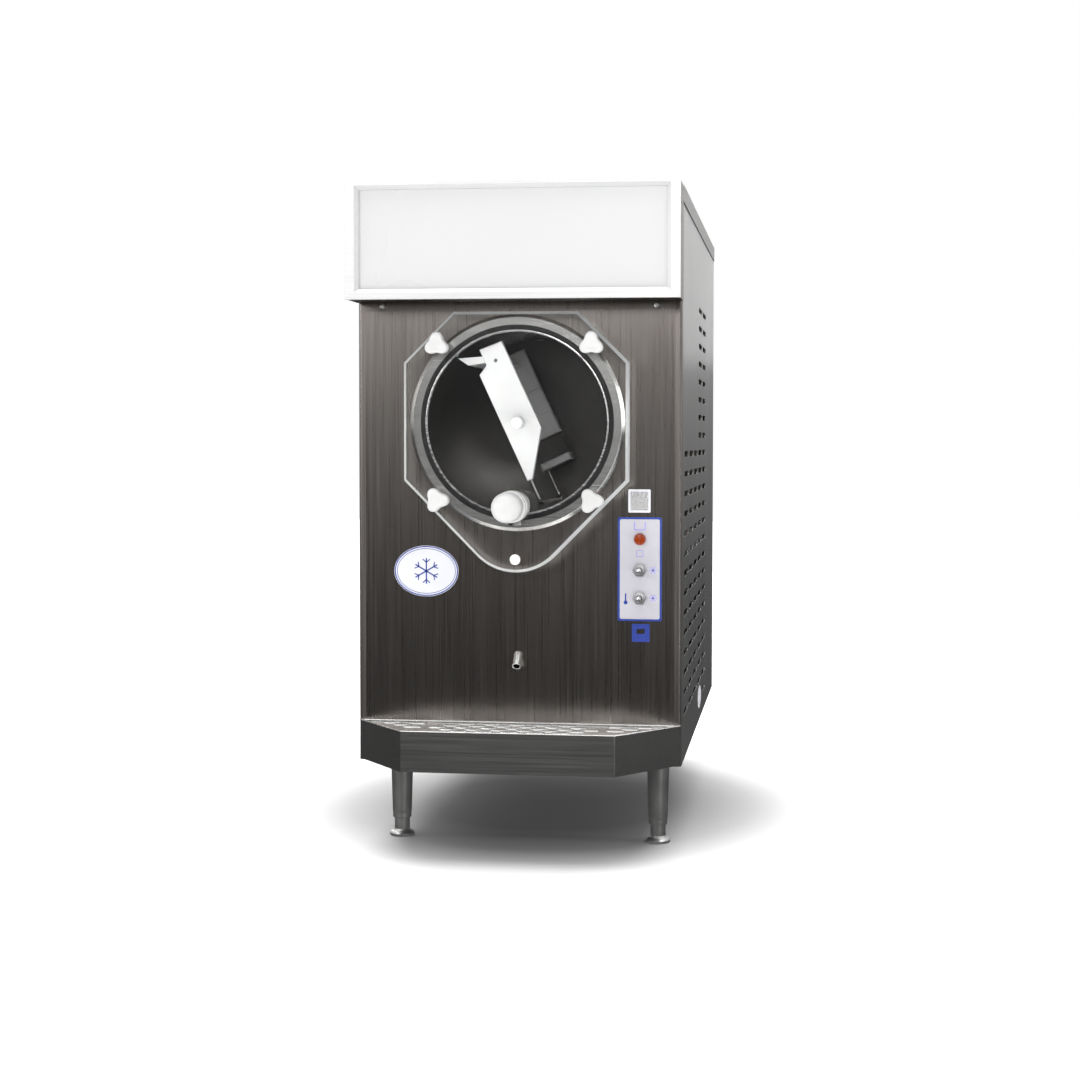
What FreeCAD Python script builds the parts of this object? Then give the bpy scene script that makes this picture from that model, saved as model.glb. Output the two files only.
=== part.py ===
"""Countertop single-barrel ice cream maker: a stainless cabinet on four legs.

Millimetres, +X to the machine's right as its user sees it, +Y to the back, +Z up.
Everything is laid out from the outer face of the front panel (y = 0) and shifted on
export, so that the origin lies on the floor under the middle of the whole machine.
"""
import FreeCAD, Part
import math
import os

Vector = FreeCAD.Vector

# ---- driving dimensions -------------------------------------------------------------
body_half_width = 215.5
body_depth = 735.0
body_bottom = 120.0
body_top = 878.0
sheet = 1.5
fold_radius = 4.0
front_fold_x = 206.0
cover_skin = 1.2
cover_flange = 22.0

axis_height = 570.0
bore_radius = 118.5
barrel_wall = 3.0
barrel_end = 340.0
lip_front = -8.0
ring_radius = 142.0
ring_bevel = 4.5
gasket_radius = 125.0
gasket_thickness = 2.45

light_box_bottom = 728.0
light_box_reach = 61.0
lens_half_width = 200.0
lens_bottom = 741.5
lens_top = 869.0

door_front = -28.0
door_rear = -9.0
door_half_width = 148.0
door_rise = 144.0
door_top_flat = 82.0
door_shoulder = 78.0
door_waist = -76.0
stud_offset = 101.0
stud_radius = 3.0
chin_radius = 72.0
chin_drop = 195.5
magnet_drop = 178.5
nose_radius = 8.5
nose_front = door_rear - 8.0

spigot_height = axis_height - 108.5
spigot_reach = 112.0
port_radius = 15.0
ring_places = (door_rear - 6.0, door_front - 11.5)
spout_y = -34.5
spout_drop = 25.0

arm_tilt = math.radians(24.8)
arm_front = 17.0
arm_thickness = 12.0
rear_arm_front = 288.0
shaft_radius = 12.5
pin_place = (-87.5, 6.0)
rod_radius = 4.0
gearbox_front = barrel_end + 34.0

tray_reach = 90.0
tray_front_half = 138.0
tray_rear_half = 213.5
tray_bottom = 122.0
tray_floor = 150.0
tray_top = 174.0

leg_x = 178.0
rear_leg_x = 150.0
leg_front = 86.0
leg_rear = body_depth - leg_front
foot_neck_top = 25.0

label_x = 160.5
label_half_width = 28.8
label_bottom = 310.7
label_top = 446.7
lamp_height = 418.0
toggle_heights = (377.4, 341.0)
toggle_pivot_y = -4.5
toggle_pin_radius = 1.2
drain_height = 264.0
drain_outer = 5.7

deck_height = 415.0
hopper_front = 120.0
hopper_rear = 440.0
hopper_half_width = 130.0
hopper_floor = 745.0
hopper_corner = 12.0
feed_y = 280.0
lid_height = 13.0

compressor_x = -75.0
compressor_y = 420.0
mount_spread = 70.0
drier_x = 140.0
fan_height = 272.0
fan_collar_radius = 105.0
condenser_half_width = 150.0
condenser_y = 680.0

vent_length = 74.0
vent_height = 8.0
vent_pitch = 26.65
vent_first_row = 182.6
vent_first_column = 82.0
vent_column_pitch = 97.0

grille_slot_pitch = 33.3
grille_row_pitch = 14.0

light_box_bolt_x = 182.0
light_box_bolt_height = 723.0

badge_place = (-123.8, 373.4)
badge_half_size = (43.3, 33.7)

gland_x = -150.0
gland_height = 200.0
gland_reach = 14.0

panel_y = (spigot_reach - body_depth - gland_reach) / 2.0


# ---- shape helpers ------------------------------------------------------------------
def box(x0, x1, y0, y1, z0, z1):
    return Part.makeBox(x1 - x0, y1 - y0, z1 - z0, Vector(x0, y0, z0))


def cyl_x(y, z, radius, x0, x1):
    return Part.makeCylinder(radius, x1 - x0, Vector(x0, y, z), Vector(1, 0, 0))


def cyl_y(x, z, radius, y0, y1):
    return Part.makeCylinder(radius, y1 - y0, Vector(x, y0, z), Vector(0, 1, 0))


def cyl_z(x, y, radius, z0, z1):
    return Part.makeCylinder(radius, z1 - z0, Vector(x, y, z0))


def tube_y(x, z, outer, inner, y0, y1):
    return cyl_y(x, z, outer, y0, y1).cut(cyl_y(x, z, inner, y0 - 1, y1 + 1))


def prism_y(points, y0, y1):
    """Prism along Y from an outline of (x, z) points."""
    wire = Part.makePolygon([Vector(x, y0, z) for x, z in points + points[:1]])
    return Part.Face(wire).extrude(Vector(0, y1 - y0, 0))


def prism_z(points, z0, z1):
    """Prism along Z from an outline of (x, y) points."""
    wire = Part.makePolygon([Vector(x, y, z0) for x, y in points + points[:1]])
    return Part.Face(wire).extrude(Vector(0, 0, z1 - z0))


def turned(profile, base, direction):
    """Solid of revolution: (radius, distance) points turned about an axis from base."""
    wire = Part.makePolygon([Vector(r, 0, d) for r, d in profile + profile[:1]])
    solid = Part.Face(wire).revolve(Vector(0, 0, 0), Vector(0, 0, 1), 360)
    turn = FreeCAD.Rotation(Vector(0, 0, 1), direction)
    solid.Placement = FreeCAD.Placement(base, turn)
    return solid


def slot_x(y, z, length, height, x0, x1):
    """Round-ended slot lying along Y, cut through along X."""
    straight = (length - height) / 2
    middle = box(x0, x1, y - straight, y + straight, z - height / 2, z + height / 2)
    ends = [cyl_x(y + side * straight, z, height / 2, x0, x1) for side in (-1, 1)]
    return middle.fuse(ends)


def slot_y(x, z, length, height, y0, y1):
    """Round-ended slot lying along X, cut through along Y."""
    straight = (length - height) / 2
    middle = box(x - straight, x + straight, y0, y1, z - height / 2, z + height / 2)
    ends = [cyl_y(x + side * straight, z, height / 2, y0, y1) for side in (-1, 1)]
    return middle.fuse(ends)


def hexagon_y(x, z, across, y0, y1):
    corner = across / math.sqrt(3)
    points = []
    for step in range(6):
        angle = math.radians(60 * step)
        points.append((x + corner * math.cos(angle), z + corner * math.sin(angle)))
    return prism_y(points, y0, y1)


def hexagon_z(x, y, across, z0, z1):
    corner = across / math.sqrt(3)
    points = []
    for step in range(6):
        angle = math.radians(60 * step)
        points.append((x + corner * math.cos(angle), y + corner * math.sin(angle)))
    return prism_z(points, z0, z1)


def rounded(solid, radius, wanted):
    """Fillet the edges for which wanted(edge) is true."""
    edges = [edge for edge in solid.Edges if wanted(edge)]
    return solid.makeFillet(radius, edges)


def bevelled(solid, size, wanted):
    edges = [edge for edge in solid.Edges if wanted(edge)]
    return solid.makeChamfer(size, edges)


def flat_at_y(y):
    """Test for edges that lie wholly in the plane at this y."""
    def test(edge):
        bounds = edge.BoundBox
        return abs(bounds.YMin - y) < 0.01 and abs(bounds.YMax - y) < 0.01
    return test


def flat_at_z(z):
    def test(edge):
        bounds = edge.BoundBox
        return abs(bounds.ZMin - z) < 0.01 and abs(bounds.ZMax - z) < 0.01
    return test


def along_z(edge):
    bounds = edge.BoundBox
    return bounds.XLength < 0.01 and bounds.YLength < 0.01


def bent_tube(points, bend, outer, inner=0.0):
    """Tube along straight runs joined by tangent arcs of radius bend."""
    corners = [Vector(*point) for point in points]
    edges = []
    start = corners[0]
    for before, corner, after in zip(corners, corners[1:], corners[2:]):
        into = (corner - before).normalize()
        out = (after - corner).normalize()
        turn = into.getAngle(out)
        reach = bend * math.tan(turn / 2)
        arc_start = corner - into * reach
        arc_end = corner + out * reach
        centre_way = (out - into).normalize()
        centre = corner + centre_way * (bend / math.cos(turn / 2))
        arc_middle = centre - centre_way * bend
        edges.append(Part.LineSegment(start, arc_start).toShape())
        edges.append(Part.Arc(arc_start, arc_middle, arc_end).toShape())
        start = arc_end
    edges.append(Part.LineSegment(start, corners[-1]).toShape())
    path = Part.Wire(edges)
    way = (corners[1] - corners[0]).normalize()

    def swept(radius):
        ring = Part.Wire(Part.makeCircle(radius, corners[0], way))
        return path.makePipeShell([ring], True, False)

    solid = swept(outer)
    if inner:
        solid = solid.cut(swept(inner))
    return solid


def together(*shapes):
    """One node that holds several touching or neighbouring pieces as separate solids."""
    solids = []
    for shape in shapes:
        solids += shape.Solids
    return Part.makeCompound(solids)


def save(node, shape):
    moved = shape.copy()
    moved.translate(Vector(0, panel_y, 0))
    moved.exportStep("parts/" + node + ".step")


# ---- cabinet ------------------------------------------------------------------------
def base_pan():
    x, y0, y1 = body_half_width - sheet - 0.2, sheet + 0.2, body_depth - sheet - 0.2
    floor_z, rim_z = body_bottom, body_bottom + 30
    pan = rounded(box(-x, x, y0, y1, floor_z, rim_z), 3.0, along_z)
    pan = pan.cut(box(sheet - x, x - sheet, y0 + sheet, y1 - sheet, floor_z + sheet, rim_z + 1))
    holes = [cyl_z(px, py, 5.3, floor_z - 1, floor_z + 5) for px, py in leg_places()]
    vents = [slot_hole_z(sx * 70, 150 + 60 * row) for sx in (-1, 1) for row in range(3)]
    return pan.cut(holes + vents)


def slot_hole_z(x, y):
    """Slot through the floor of the base pan, lying along X."""
    middle = box(x - 30, x + 30, y - 4, y + 4, body_bottom - 1, body_bottom + 3)
    ends = [cyl_z(x + side * 30, y, 4, body_bottom - 1, body_bottom + 3) for side in (-1, 1)]
    return middle.fuse(ends)


def chassis_frame():
    """Four corner angles with rails for the deck and for the top."""
    angle, thick = 25.0, 2.5
    outer_x = body_half_width - sheet - 2.0
    y0, y1 = 3.6, body_depth - 3.6
    z0, z1 = body_bottom + sheet + 0.1, body_top - 3.0
    pieces = []
    for side in (-1, 1):
        xa, xb = sorted((side * outer_x, side * (outer_x - angle)))
        xc, xd = sorted((side * outer_x, side * (outer_x - thick)))
        for ya, yb, yc, yd in ((y0, y0 + thick, y0, y0 + angle), (y1 - thick, y1, y1 - angle, y1)):
            pieces.append(box(xa, xb, ya, yb, z0, z1))
            pieces.append(box(xc, xd, yc, yd, z0, z1))
        for rail_top in (deck_height, z1):
            pieces.append(box(xc, xd, y0, y1, rail_top - angle, rail_top))
        pieces.append(box(xa, xb, y0 + angle, y1 - angle, deck_height - thick, deck_height))
    for y in (y0, y1 - thick):
        pieces.append(box(-outer_x, outer_x, y, y + thick, z1 - angle, z1))
    frame = pieces[0].fuse(pieces[1:]).removeSplitter()
    light_box_bolts = [cyl_y(side * light_box_bolt_x, light_box_bolt_height, 3.0, 0, 10) for side in (-1, 1)]
    return frame.cut(light_box_bolts)


def mid_deck():
    x = body_half_width - sheet - 2.1
    deck = box(-x, x, 29.0, body_depth - 29.0, deck_height + 0.1, deck_height + 2.1)
    pipe_places = ((-170, 330), (-170, 380), (170, 380))
    pipe_holes = [cyl_z(px, py, 14, deck_height - 1, deck_height + 3) for px, py in pipe_places]
    return deck.cut(pipe_holes)


def front_panel():
    x = front_fold_x - 0.1
    panel = box(-x, x, 0, sheet, body_bottom + 1.0, body_top - 1.7)
    holes = [cyl_y(0, axis_height, bore_radius + barrel_wall + 0.2, -1, 3)]
    holes += [cyl_y(sx * stud_offset, axis_height + sz * stud_offset, stud_radius + 0.2, -1, 3)
              for sx in (-1, 1) for sz in (-1, 1)]
    holes.append(cyl_y(label_x, lamp_height, 6.2, -1, 3))
    holes += [cyl_y(label_x, z, 6.1, -1, 3) for z in toggle_heights]
    holes.append(cyl_y(0, drain_height, drain_outer + 0.6, -1, 3))
    return panel.cut(holes)


def vent_slots(x0, x1):
    """Five columns of short slots low on the side, two of them carried on upwards."""
    low_rows, rows_in_all = 14, 22
    slots = []
    for column in range(5):
        y = vent_first_column + vent_column_pitch * column
        rows = list(range(rows_in_all if column >= 3 else low_rows))
        if column == 4:
            rows.append(-1)
        slots += [slot_x(y, vent_first_row + vent_pitch * row, vent_length, vent_height, x0, x1) for row in rows]
    return slots


def side_panel(side):
    """Flat side with a rounded fold that carries it on to the front."""
    inner, outer = body_half_width - sheet, body_half_width
    z0, z1 = body_bottom, body_top - 2.1
    flat = box(inner, outer, 0, body_depth, z0, z1)
    fold = box(front_fold_x, outer, 0, sheet, z0, z1)
    panel = flat.fuse(fold).removeSplitter()

    def outer_corner(edge):
        return along_z(edge) and edge.BoundBox.XMin > outer - 0.01 and edge.BoundBox.YMax < 0.01

    def inner_corner(edge):
        bounds = edge.BoundBox
        return along_z(edge) and abs(bounds.XMin - inner) < 0.01 and abs(bounds.YMin - sheet) < 0.01

    panel = rounded(panel, fold_radius, outer_corner)
    panel = rounded(panel, fold_radius - sheet, inner_corner)
    panel = panel.cut(vent_slots(inner - 1, outer + 1))
    if side < 0:
        panel = panel.mirror(Vector(0, 0, 0), Vector(1, 0, 0))
    return panel


def rear_panel():
    x = body_half_width - sheet - 0.1
    y0, y1 = body_depth - sheet, body_depth
    panel = box(-x, x, y0, y1, body_bottom + 1.0, body_top - 1.7)
    holes = []
    for row in range(17):
        for column in range(4):
            holes.append(slot_y(-102 + 68 * column, 152 + 15 * row, 54, 6, y0 - 1, y1 + 1))
    for row in range(6):
        for column in range(2):
            holes.append(slot_y(-60 + 120 * column, 520 + 22 * row, 90, 6, y0 - 1, y1 + 1))
    holes.append(cyl_y(gland_x, gland_height, 8.1, y0 - 1, y1 + 1))
    return panel.cut(holes)


def top_cover():
    x = body_half_width + cover_skin
    y1 = body_depth + cover_skin
    cover = box(-x, x, 0, y1, body_top - cover_flange, body_top)
    cover = rounded(cover, 6.0, lambda edge: along_z(edge) and edge.BoundBox.YMin > 1)
    inner_x = body_half_width + 0.1
    inner = box(-inner_x, inner_x, -1, body_depth + 0.1, body_top - cover_flange - 1, body_top - sheet)
    cover = cover.cut(inner)
    mouth = box(-hopper_half_width - 1, hopper_half_width + 1, hopper_front - 1, hopper_rear + 1,
                body_top - 5, body_top + 5)
    return cover.cut(mouth)


# ---- lit sign box -------------------------------------------------------------------
def light_box_housing():
    x, front = body_half_width + 0.9, -light_box_reach + 8
    z0, z1 = light_box_bottom + 0.3, body_top - 1.8
    outer = box(-x, x, front, -0.1, z0, z1)
    inner = box(cover_skin - x, x - cover_skin, front - 1, -0.1 - cover_skin, z0 + cover_skin, z1 - cover_skin)
    lip = box(12 - x, x - 12, -0.1 - cover_skin, -0.1, light_box_bottom - 10, z0 + 1)
    housing = outer.cut(inner).fuse(lip).removeSplitter()
    return housing.cut([cyl_y(side * light_box_bolt_x, light_box_bolt_height, 2.6, -5, 1) for side in (-1, 1)])


def light_box_frame():
    """Four mitred channels in one frame, the inner edge sloping back to the lens."""
    x = body_half_width + 1.2
    rear = -light_box_reach + 7.9
    outer = box(-x, x, -light_box_reach, rear, light_box_bottom, body_top - 1.6)
    window = box(-lens_half_width, lens_half_width, -light_box_reach - 1, rear + 1, lens_bottom, lens_top)
    frame = outer.cut(window)

    def inner_front(edge):
        bounds = edge.BoundBox
        inside = bounds.XMax < x - 5 and bounds.XMin > 5 - x and bounds.ZMin > light_box_bottom + 5
        return inside and bounds.ZMax < body_top - 3 and abs(bounds.YMax + light_box_reach) < 0.01

    return bevelled(frame, 5.0, inner_front)


def light_box_lens():
    rear = -light_box_reach + 7.9
    return box(-lens_half_width - 4, lens_half_width + 4, rear + 0.1, rear + 3.1, lens_bottom - 4, lens_top + 4)


def light_box_tubes():
    tubes = []
    for z in (778.0, 832.0):
        tube = cyl_x(-26.0, z, 8.0, -182, 182)
        caps = [cyl_x(-26.0, z, 9.5, -190, -182), cyl_x(-26.0, z, 9.5, 182, 190)]
        tubes.append(tube.fuse(caps).removeSplitter())
    return Part.makeCompound(tubes)


def light_box_holders():
    holders = []
    for side in (-1, 1):
        xa, xb = sorted((side * 190.1, side * 194.0))
        plate = box(xa, xb, -40, -1.5, 760, 850)
        holders.append(plate)
    return Part.makeCompound(holders)


def light_box_screws():
    screws = []
    for side in (-1, 1):
        head = turned([(0, 0), (2.4, 0), (3.6, 1.0), (4.0, 2.6), (0, 2.6)],
                      Vector(side * light_box_bolt_x, -1.3 - 2.6, light_box_bolt_height), Vector(0, 1, 0))
        shank = cyl_y(side * light_box_bolt_x, light_box_bolt_height, 2.4, -1.3, -0.15)
        screws.append(head.fuse(shank).removeSplitter())
    return Part.makeCompound(screws)


# ---- freezing barrel ----------------------------------------------------------------
def freezing_barrel():
    outer = bore_radius + barrel_wall
    barrel = cyl_y(0, axis_height, outer, lip_front, barrel_end + 5)
    barrel = barrel.cut(cyl_y(0, axis_height, bore_radius, lip_front - 1, barrel_end))
    barrel = rounded(barrel, 1.2, flat_at_y(lip_front))
    barrel = barrel.cut(cyl_y(0, axis_height, 21.0, barrel_end - 1, barrel_end + 6))
    return barrel.cut(cyl_z(0, feed_y, 12.1, axis_height, axis_height + 140))


def barrel_ring():
    """Polished ring round the barrel's mouth, with the gasket's groove inside it."""
    ring = tube_y(0, axis_height, ring_radius, bore_radius + barrel_wall + 0.1, lip_front, -0.1)
    ring = bevelled(ring, ring_bevel, lambda edge: flat_at_y(lip_front)(edge) and edge.BoundBox.XLength > 270)
    reach = gasket_thickness + 0.05
    groove = tube_y(0, axis_height, gasket_radius + reach, gasket_radius - reach, lip_front - 1, lip_front + 4.3)
    notches = [cyl_y(x, z, stud_radius + 0.4, lip_front - 1, 1) for x, z in stud_places()]
    return ring.cut([groove] + notches)


def door_gasket():
    centre = Vector(0, lip_front + gasket_thickness - 0.8, axis_height)
    return Part.makeTorus(gasket_radius, gasket_thickness, centre, Vector(0, 1, 0))


def stud_places():
    return [(sx * stud_offset, axis_height + sz * stud_offset) for sx in (-1, 1) for sz in (-1, 1)]


def stud_frame():
    """Square frame behind the front panel with the four door studs welded to it."""
    size = 133.0
    plate = box(-size, size, sheet + 0.1, sheet + 6.1, axis_height - size, axis_height + size)
    plate = rounded(plate, 12.0, lambda edge: edge.BoundBox.XLength < 0.01 and edge.BoundBox.ZLength < 0.01)
    plate = plate.cut(cyl_y(0, axis_height, bore_radius + barrel_wall + 0.3, 0, 20))
    studs = []
    for x, z in stud_places():
        shank = cyl_y(x, z, stud_radius, -43.0, sheet + 0.1)
        tip = turned([(0, 0), (2.2, 0), (3.0, 0.8), (0, 0.8)], Vector(x, -43.8, z), Vector(0, 1, 0))
        studs += [shank, tip]
    return plate.fuse(studs).removeSplitter()


def evaporator_coil():
    """Copper turns round the barrel, joined by one header along the bottom."""
    inner = bore_radius + barrel_wall
    tube = 4.6
    pitch = 19.0
    turns = []
    y = 28.0
    while y < barrel_end - 5:
        if abs(y - feed_y) > 20:
            turns.append(Part.makeTorus(inner + tube + 0.3, tube, Vector(0, y, axis_height), Vector(0, 1, 0)))
        y += pitch
    header = cyl_y(0, axis_height - inner - tube - 0.3, tube, 28.0, 28.0 + 16 * pitch)
    return header.fuse(turns)


def barrel_insulation():
    block = box(-148, 148, 10, 352, deck_height + 2.2, axis_height + 152)
    block = rounded(block, 30.0, lambda edge: edge.BoundBox.XLength < 0.01 and edge.BoundBox.ZLength < 0.01)
    bore = bore_radius + barrel_wall + 10.0
    block = block.cut(cyl_y(0, axis_height, bore, 9, barrel_end + 5.2))
    block = block.cut(cyl_y(0, axis_height, 34.0, 330, 360))
    return block.cut(cyl_z(0, feed_y, 13.0, axis_height, axis_height + 180))


# ---- door ---------------------------------------------------------------------------
def chin_tangent():
    """Where the slanting side of the door meets the round of its chin (right side)."""
    corner_x, corner_z = door_half_width, door_waist
    centre_z = chin_radius - chin_drop
    dx, dz = -corner_x, centre_z - corner_z
    gap = math.hypot(dx, dz)
    way = math.atan2(dz, dx) + math.asin(chin_radius / gap)
    run = math.sqrt(gap ** 2 - chin_radius ** 2)
    return corner_x + run * math.cos(way), corner_z + run * math.sin(way)


def door_plate():
    tx, tz = chin_tangent()
    z = axis_height
    right = [(tx, tz), (door_half_width, door_waist), (door_half_width, door_shoulder), (door_top_flat, door_rise)]
    corners = [(px, z + pz) for px, pz in right + [(-px, pz) for px, pz in reversed(right)]]
    points = [Vector(px, door_front, pz) for px, pz in corners]
    edges = [Part.LineSegment(a, b).toShape() for a, b in zip(points, points[1:])]
    edges.append(Part.Arc(points[-1], Vector(0, door_front, z - chin_drop), points[0]).toShape())
    plate = Part.Face(Part.Wire(edges)).extrude(Vector(0, door_rear - door_front, 0))
    plate = bevelled(plate, 3.0, flat_at_y(door_front))
    cylinder = cyl_y(0, spigot_height, 20.0, door_front - 16, door_front + 1)
    spout = cyl_z(0, spout_y, 9.0, spigot_height - spout_drop, spigot_height - 5)
    plate = plate.fuse([cylinder, spout]).removeSplitter()
    cuts = [cyl_y(0, spigot_height, port_radius + 0.08, door_front - 20, door_rear + 1)]
    cuts.append(cyl_z(0, spout_y, 6.0, spigot_height - spout_drop - 7, spigot_height))
    cuts += [cyl_y(px, pz, stud_radius + 0.4, door_front - 1, door_rear + 1) for px, pz in stud_places()]
    cuts.append(cyl_y(0, z, nose_radius + 0.08, door_rear - 10, door_rear + 1))
    cuts.append(cyl_y(0, z - magnet_drop, 7.1, door_front - 1, door_front + 3))
    return plate.cut(cuts)


def door_magnet():
    return cyl_y(0, axis_height - magnet_drop, 7.0, door_front - 0.5, door_front + 3)


def knob(x, z, first_lobe):
    """Three-lobed hand knob with a hub against the door and a closed crown, first_lobe degrees round."""
    rear, front = door_front - 0.3, -46.0
    hub = cyl_y(x, z, 7.5, rear - 5, rear)
    lobes = []
    for step in range(3):
        angle = math.radians(first_lobe + 120 * step)
        lobes.append(cyl_y(x + 9.4 * math.cos(angle), z + 9.4 * math.sin(angle), 7.2, front, rear - 5))
    waist = cyl_y(x, z, 12.4, front, rear - 5)
    head = waist.fuse(lobes).removeSplitter()
    head = rounded(head, 2.2, flat_at_y(front))
    body = head.fuse(hub).removeSplitter()
    return body.cut(cyl_y(x, z, stud_radius + 0.05, front + 2.0, rear + 1))


# ---- spigot -------------------------------------------------------------------------
def spigot_plunger():
    """Draw knob and piston in one piece, with two grooves for its rings."""
    y0, y1 = door_front - 16.5, door_rear - 1.0
    profile = [(0, -8), (7.5, -8), (13.8, -6.5), (17.8, -2.5), (19.4, 4.0), (19.6, 38.0), (20.4, 40.0),
               (20.4, 45.0), (19.6, 47.0), (19.6, 50.0), (20.6, 52.0), (20.6, 59.5), (18.6, 61.5),
               (port_radius, 61.5)]
    reach = -spigot_reach + 8
    knob_rear = y0 - reach
    scale = knob_rear / 61.5
    profile = [(r, d * scale if d > 0 else d) for r, d in profile]
    end = y1 - reach
    profile += [(port_radius, end - 1.0), (port_radius - 1.0, end), (0, end)]
    plunger = turned(profile, Vector(0, reach, spigot_height), Vector(0, 1, 0))
    for y in ring_places:
        plunger = plunger.cut(tube_y(0, spigot_height, port_radius + 1, port_radius - 1.8, y - 1.6, y + 1.6))
    return plunger


def spigot_rings():
    rings = [Part.makeTorus(port_radius - 0.95, 0.85, Vector(0, y, spigot_height), Vector(0, 1, 0))
             for y in ring_places]
    return Part.makeCompound(rings)


# ---- dasher -------------------------------------------------------------------------
def arm_point(along, across):
    """Point in the plane of a dasher arm: along it (down is +) and across it (right is +)."""
    sine, cosine = math.sin(arm_tilt), math.cos(arm_tilt)
    return along * sine + across * cosine, axis_height - along * cosine + across * sine


def dasher_front_arm():
    outline = [(-109.5, -8), (-107.5, 24), (18, 24.5), (74.2, -14.5), (74.2, -21.7), (-79, -21.7), (-86.5, -8)]
    arm = prism_y([arm_point(a, c) for a, c in outline], arm_front, arm_front + arm_thickness)
    arm = rounded(arm, 1.5, flat_at_y(arm_front))
    px, pz = arm_point(*pin_place)
    screw_hole = cyl_y(px, pz, 2.6, arm_front - 1, arm_front + 5)
    return arm.cut([cyl_y(px, pz, rod_radius, arm_front + 4, arm_front + arm_thickness + 1), screw_hole])


def dasher_rear_arm():
    outline = [(-107, -8), (-107, 23), (21, 23), (21, -21.7), (-76, -21.7), (-84, -8)]
    arm = prism_y([arm_point(a, c) for a, c in outline], rear_arm_front, rear_arm_front + arm_thickness)
    return rounded(arm, 1.5, flat_at_y(rear_arm_front))


def dasher_nose():
    return turned([(0, 0), (nose_radius - 2, 0), (nose_radius, 2.0), (nose_radius, arm_front - nose_front),
                   (0, arm_front - nose_front)], Vector(0, nose_front, axis_height), Vector(0, 1, 0))


def dasher_blade():
    section = [(-111.0, -38.5), (-99.5, -8.0), (-90.5, -8.0), (-97.0, -30.0)]
    return prism_y([arm_point(a, c) for a, c in section], arm_front + 1, rear_arm_front + arm_thickness - 1)


def dasher_rods():
    """Rod between the arms, and the bent wire that sweeps the lower wall."""
    px, pz = arm_point(*pin_place)
    rod = cyl_y(px, pz, rod_radius, arm_front + 4, rear_arm_front)
    y0, y1 = arm_front + 6.0, rear_arm_front + 6.0
    across = -17.7
    inner_x, inner_z = arm_point(74.2, across)
    outer_x, outer_z = arm_point(108.5, across)
    hub_x, hub_z = arm_point(64.0, across)
    wire = bent_tube([(inner_x, y0, inner_z), (outer_x, y0, outer_z), (outer_x, y1, outer_z),
                      (hub_x, y1, hub_z)], 9.0, 2.3)
    return Part.makeCompound([rod, wire])


def dasher_paddle():
    """Plate behind the rear arm with a cross blade that reaches forward past the arm's end."""
    y0 = rear_arm_front + arm_thickness
    plate_outline = [(-22, -21.7), (-22, 23), (64, 23), (64, -21.7)]
    lug_outline = [(53.5, -21.7), (53.5, 23), (64, 23), (64, -21.7)]
    paddle = prism_y([arm_point(a, c) for a, c in plate_outline], y0, y0 + 8)
    lug = prism_y([arm_point(a, c) for a, c in lug_outline], y0 - 42, y0)
    return paddle.fuse(lug).removeSplitter()


def dasher_shaft():
    y0 = rear_arm_front + arm_thickness + 8
    shaft = cyl_y(0, axis_height, shaft_radius, y0 + 6, gearbox_front + 20)
    flange = cyl_y(0, axis_height, 20.0, y0, y0 + 6)
    return shaft.fuse(flange).removeSplitter()


def shaft_seal():
    return tube_y(0, axis_height, 20.9, shaft_radius + 0.08, barrel_end - 2, barrel_end + 6)


# ---- drive --------------------------------------------------------------------------
def bearing_housing():
    y0 = barrel_end + 5.1
    housing = cyl_y(0, axis_height, 32.0, y0 + 1.2, gearbox_front - 0.1)
    flange = cyl_y(0, axis_height, 33.5, y0, y0 + 6)
    housing = housing.fuse(flange).removeSplitter()
    return housing.cut(cyl_y(0, axis_height, 21.0, y0 - 1, gearbox_front + 1))


def rear_bearing():
    y0 = barrel_end + 8
    outer = tube_y(0, axis_height, 20.95, 17.2, y0, y0 + 14)
    inner = tube_y(0, axis_height, 15.0, shaft_radius + 0.05, y0, y0 + 14)
    web = tube_y(0, axis_height, 17.2, 15.0, y0 + 5, y0 + 9)
    return outer.fuse([inner, web]).removeSplitter()


def gearbox():
    y0, y1 = gearbox_front, gearbox_front + 74
    case = box(-52, 52, y0, y1, axis_height - 78, axis_height + 52)
    case = rounded(case, 12.0, lambda edge: edge.BoundBox.XLength < 0.01 and edge.BoundBox.ZLength < 0.01)
    rib_places = [y0 + 12 + 24 * n for n in range(3)]
    ribs = [box(-55, 55, y, y + 4, axis_height - 70, axis_height + 44) for y in rib_places]
    case = case.fuse(ribs).removeSplitter()
    return case.cut(cyl_y(0, axis_height, shaft_radius + 0.08, y0 - 1, y0 + 22))


def drive_motor():
    y0 = gearbox_front + 74.1
    shell = cyl_y(0, axis_height - 12, 62.0, y0 + 8, y0 + 150)
    bell = cyl_y(0, axis_height - 12, 56.0, y0, y0 + 8)
    rear = cyl_y(0, axis_height - 12, 52.0, y0 + 150, y0 + 164)
    capacitor = cyl_y(0, axis_height + 68, 19.0, y0 + 30, y0 + 120)
    saddle = box(-10, 10, y0 + 40, y0 + 110, axis_height + 44, axis_height + 60)
    return shell.fuse([bell, rear, capacitor, saddle]).removeSplitter()


def motor_bracket():
    """Folded stand that carries the gearbox above the deck."""
    y0, y1 = gearbox_front + 2, gearbox_front + 72
    z0, z1 = deck_height + 2.2, axis_height - 78.1
    top = box(-60, 60, y0, y1, z1 - 4, z1)
    legs = [box(-60, -56, y0, y1, z0, z1), box(56, 60, y0, y1, z0, z1)]
    toes = [box(-85, -56, y0, y1, z0, z0 + 4), box(56, 85, y0, y1, z0, z0 + 4)]
    return top.fuse(legs + toes).removeSplitter()


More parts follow.
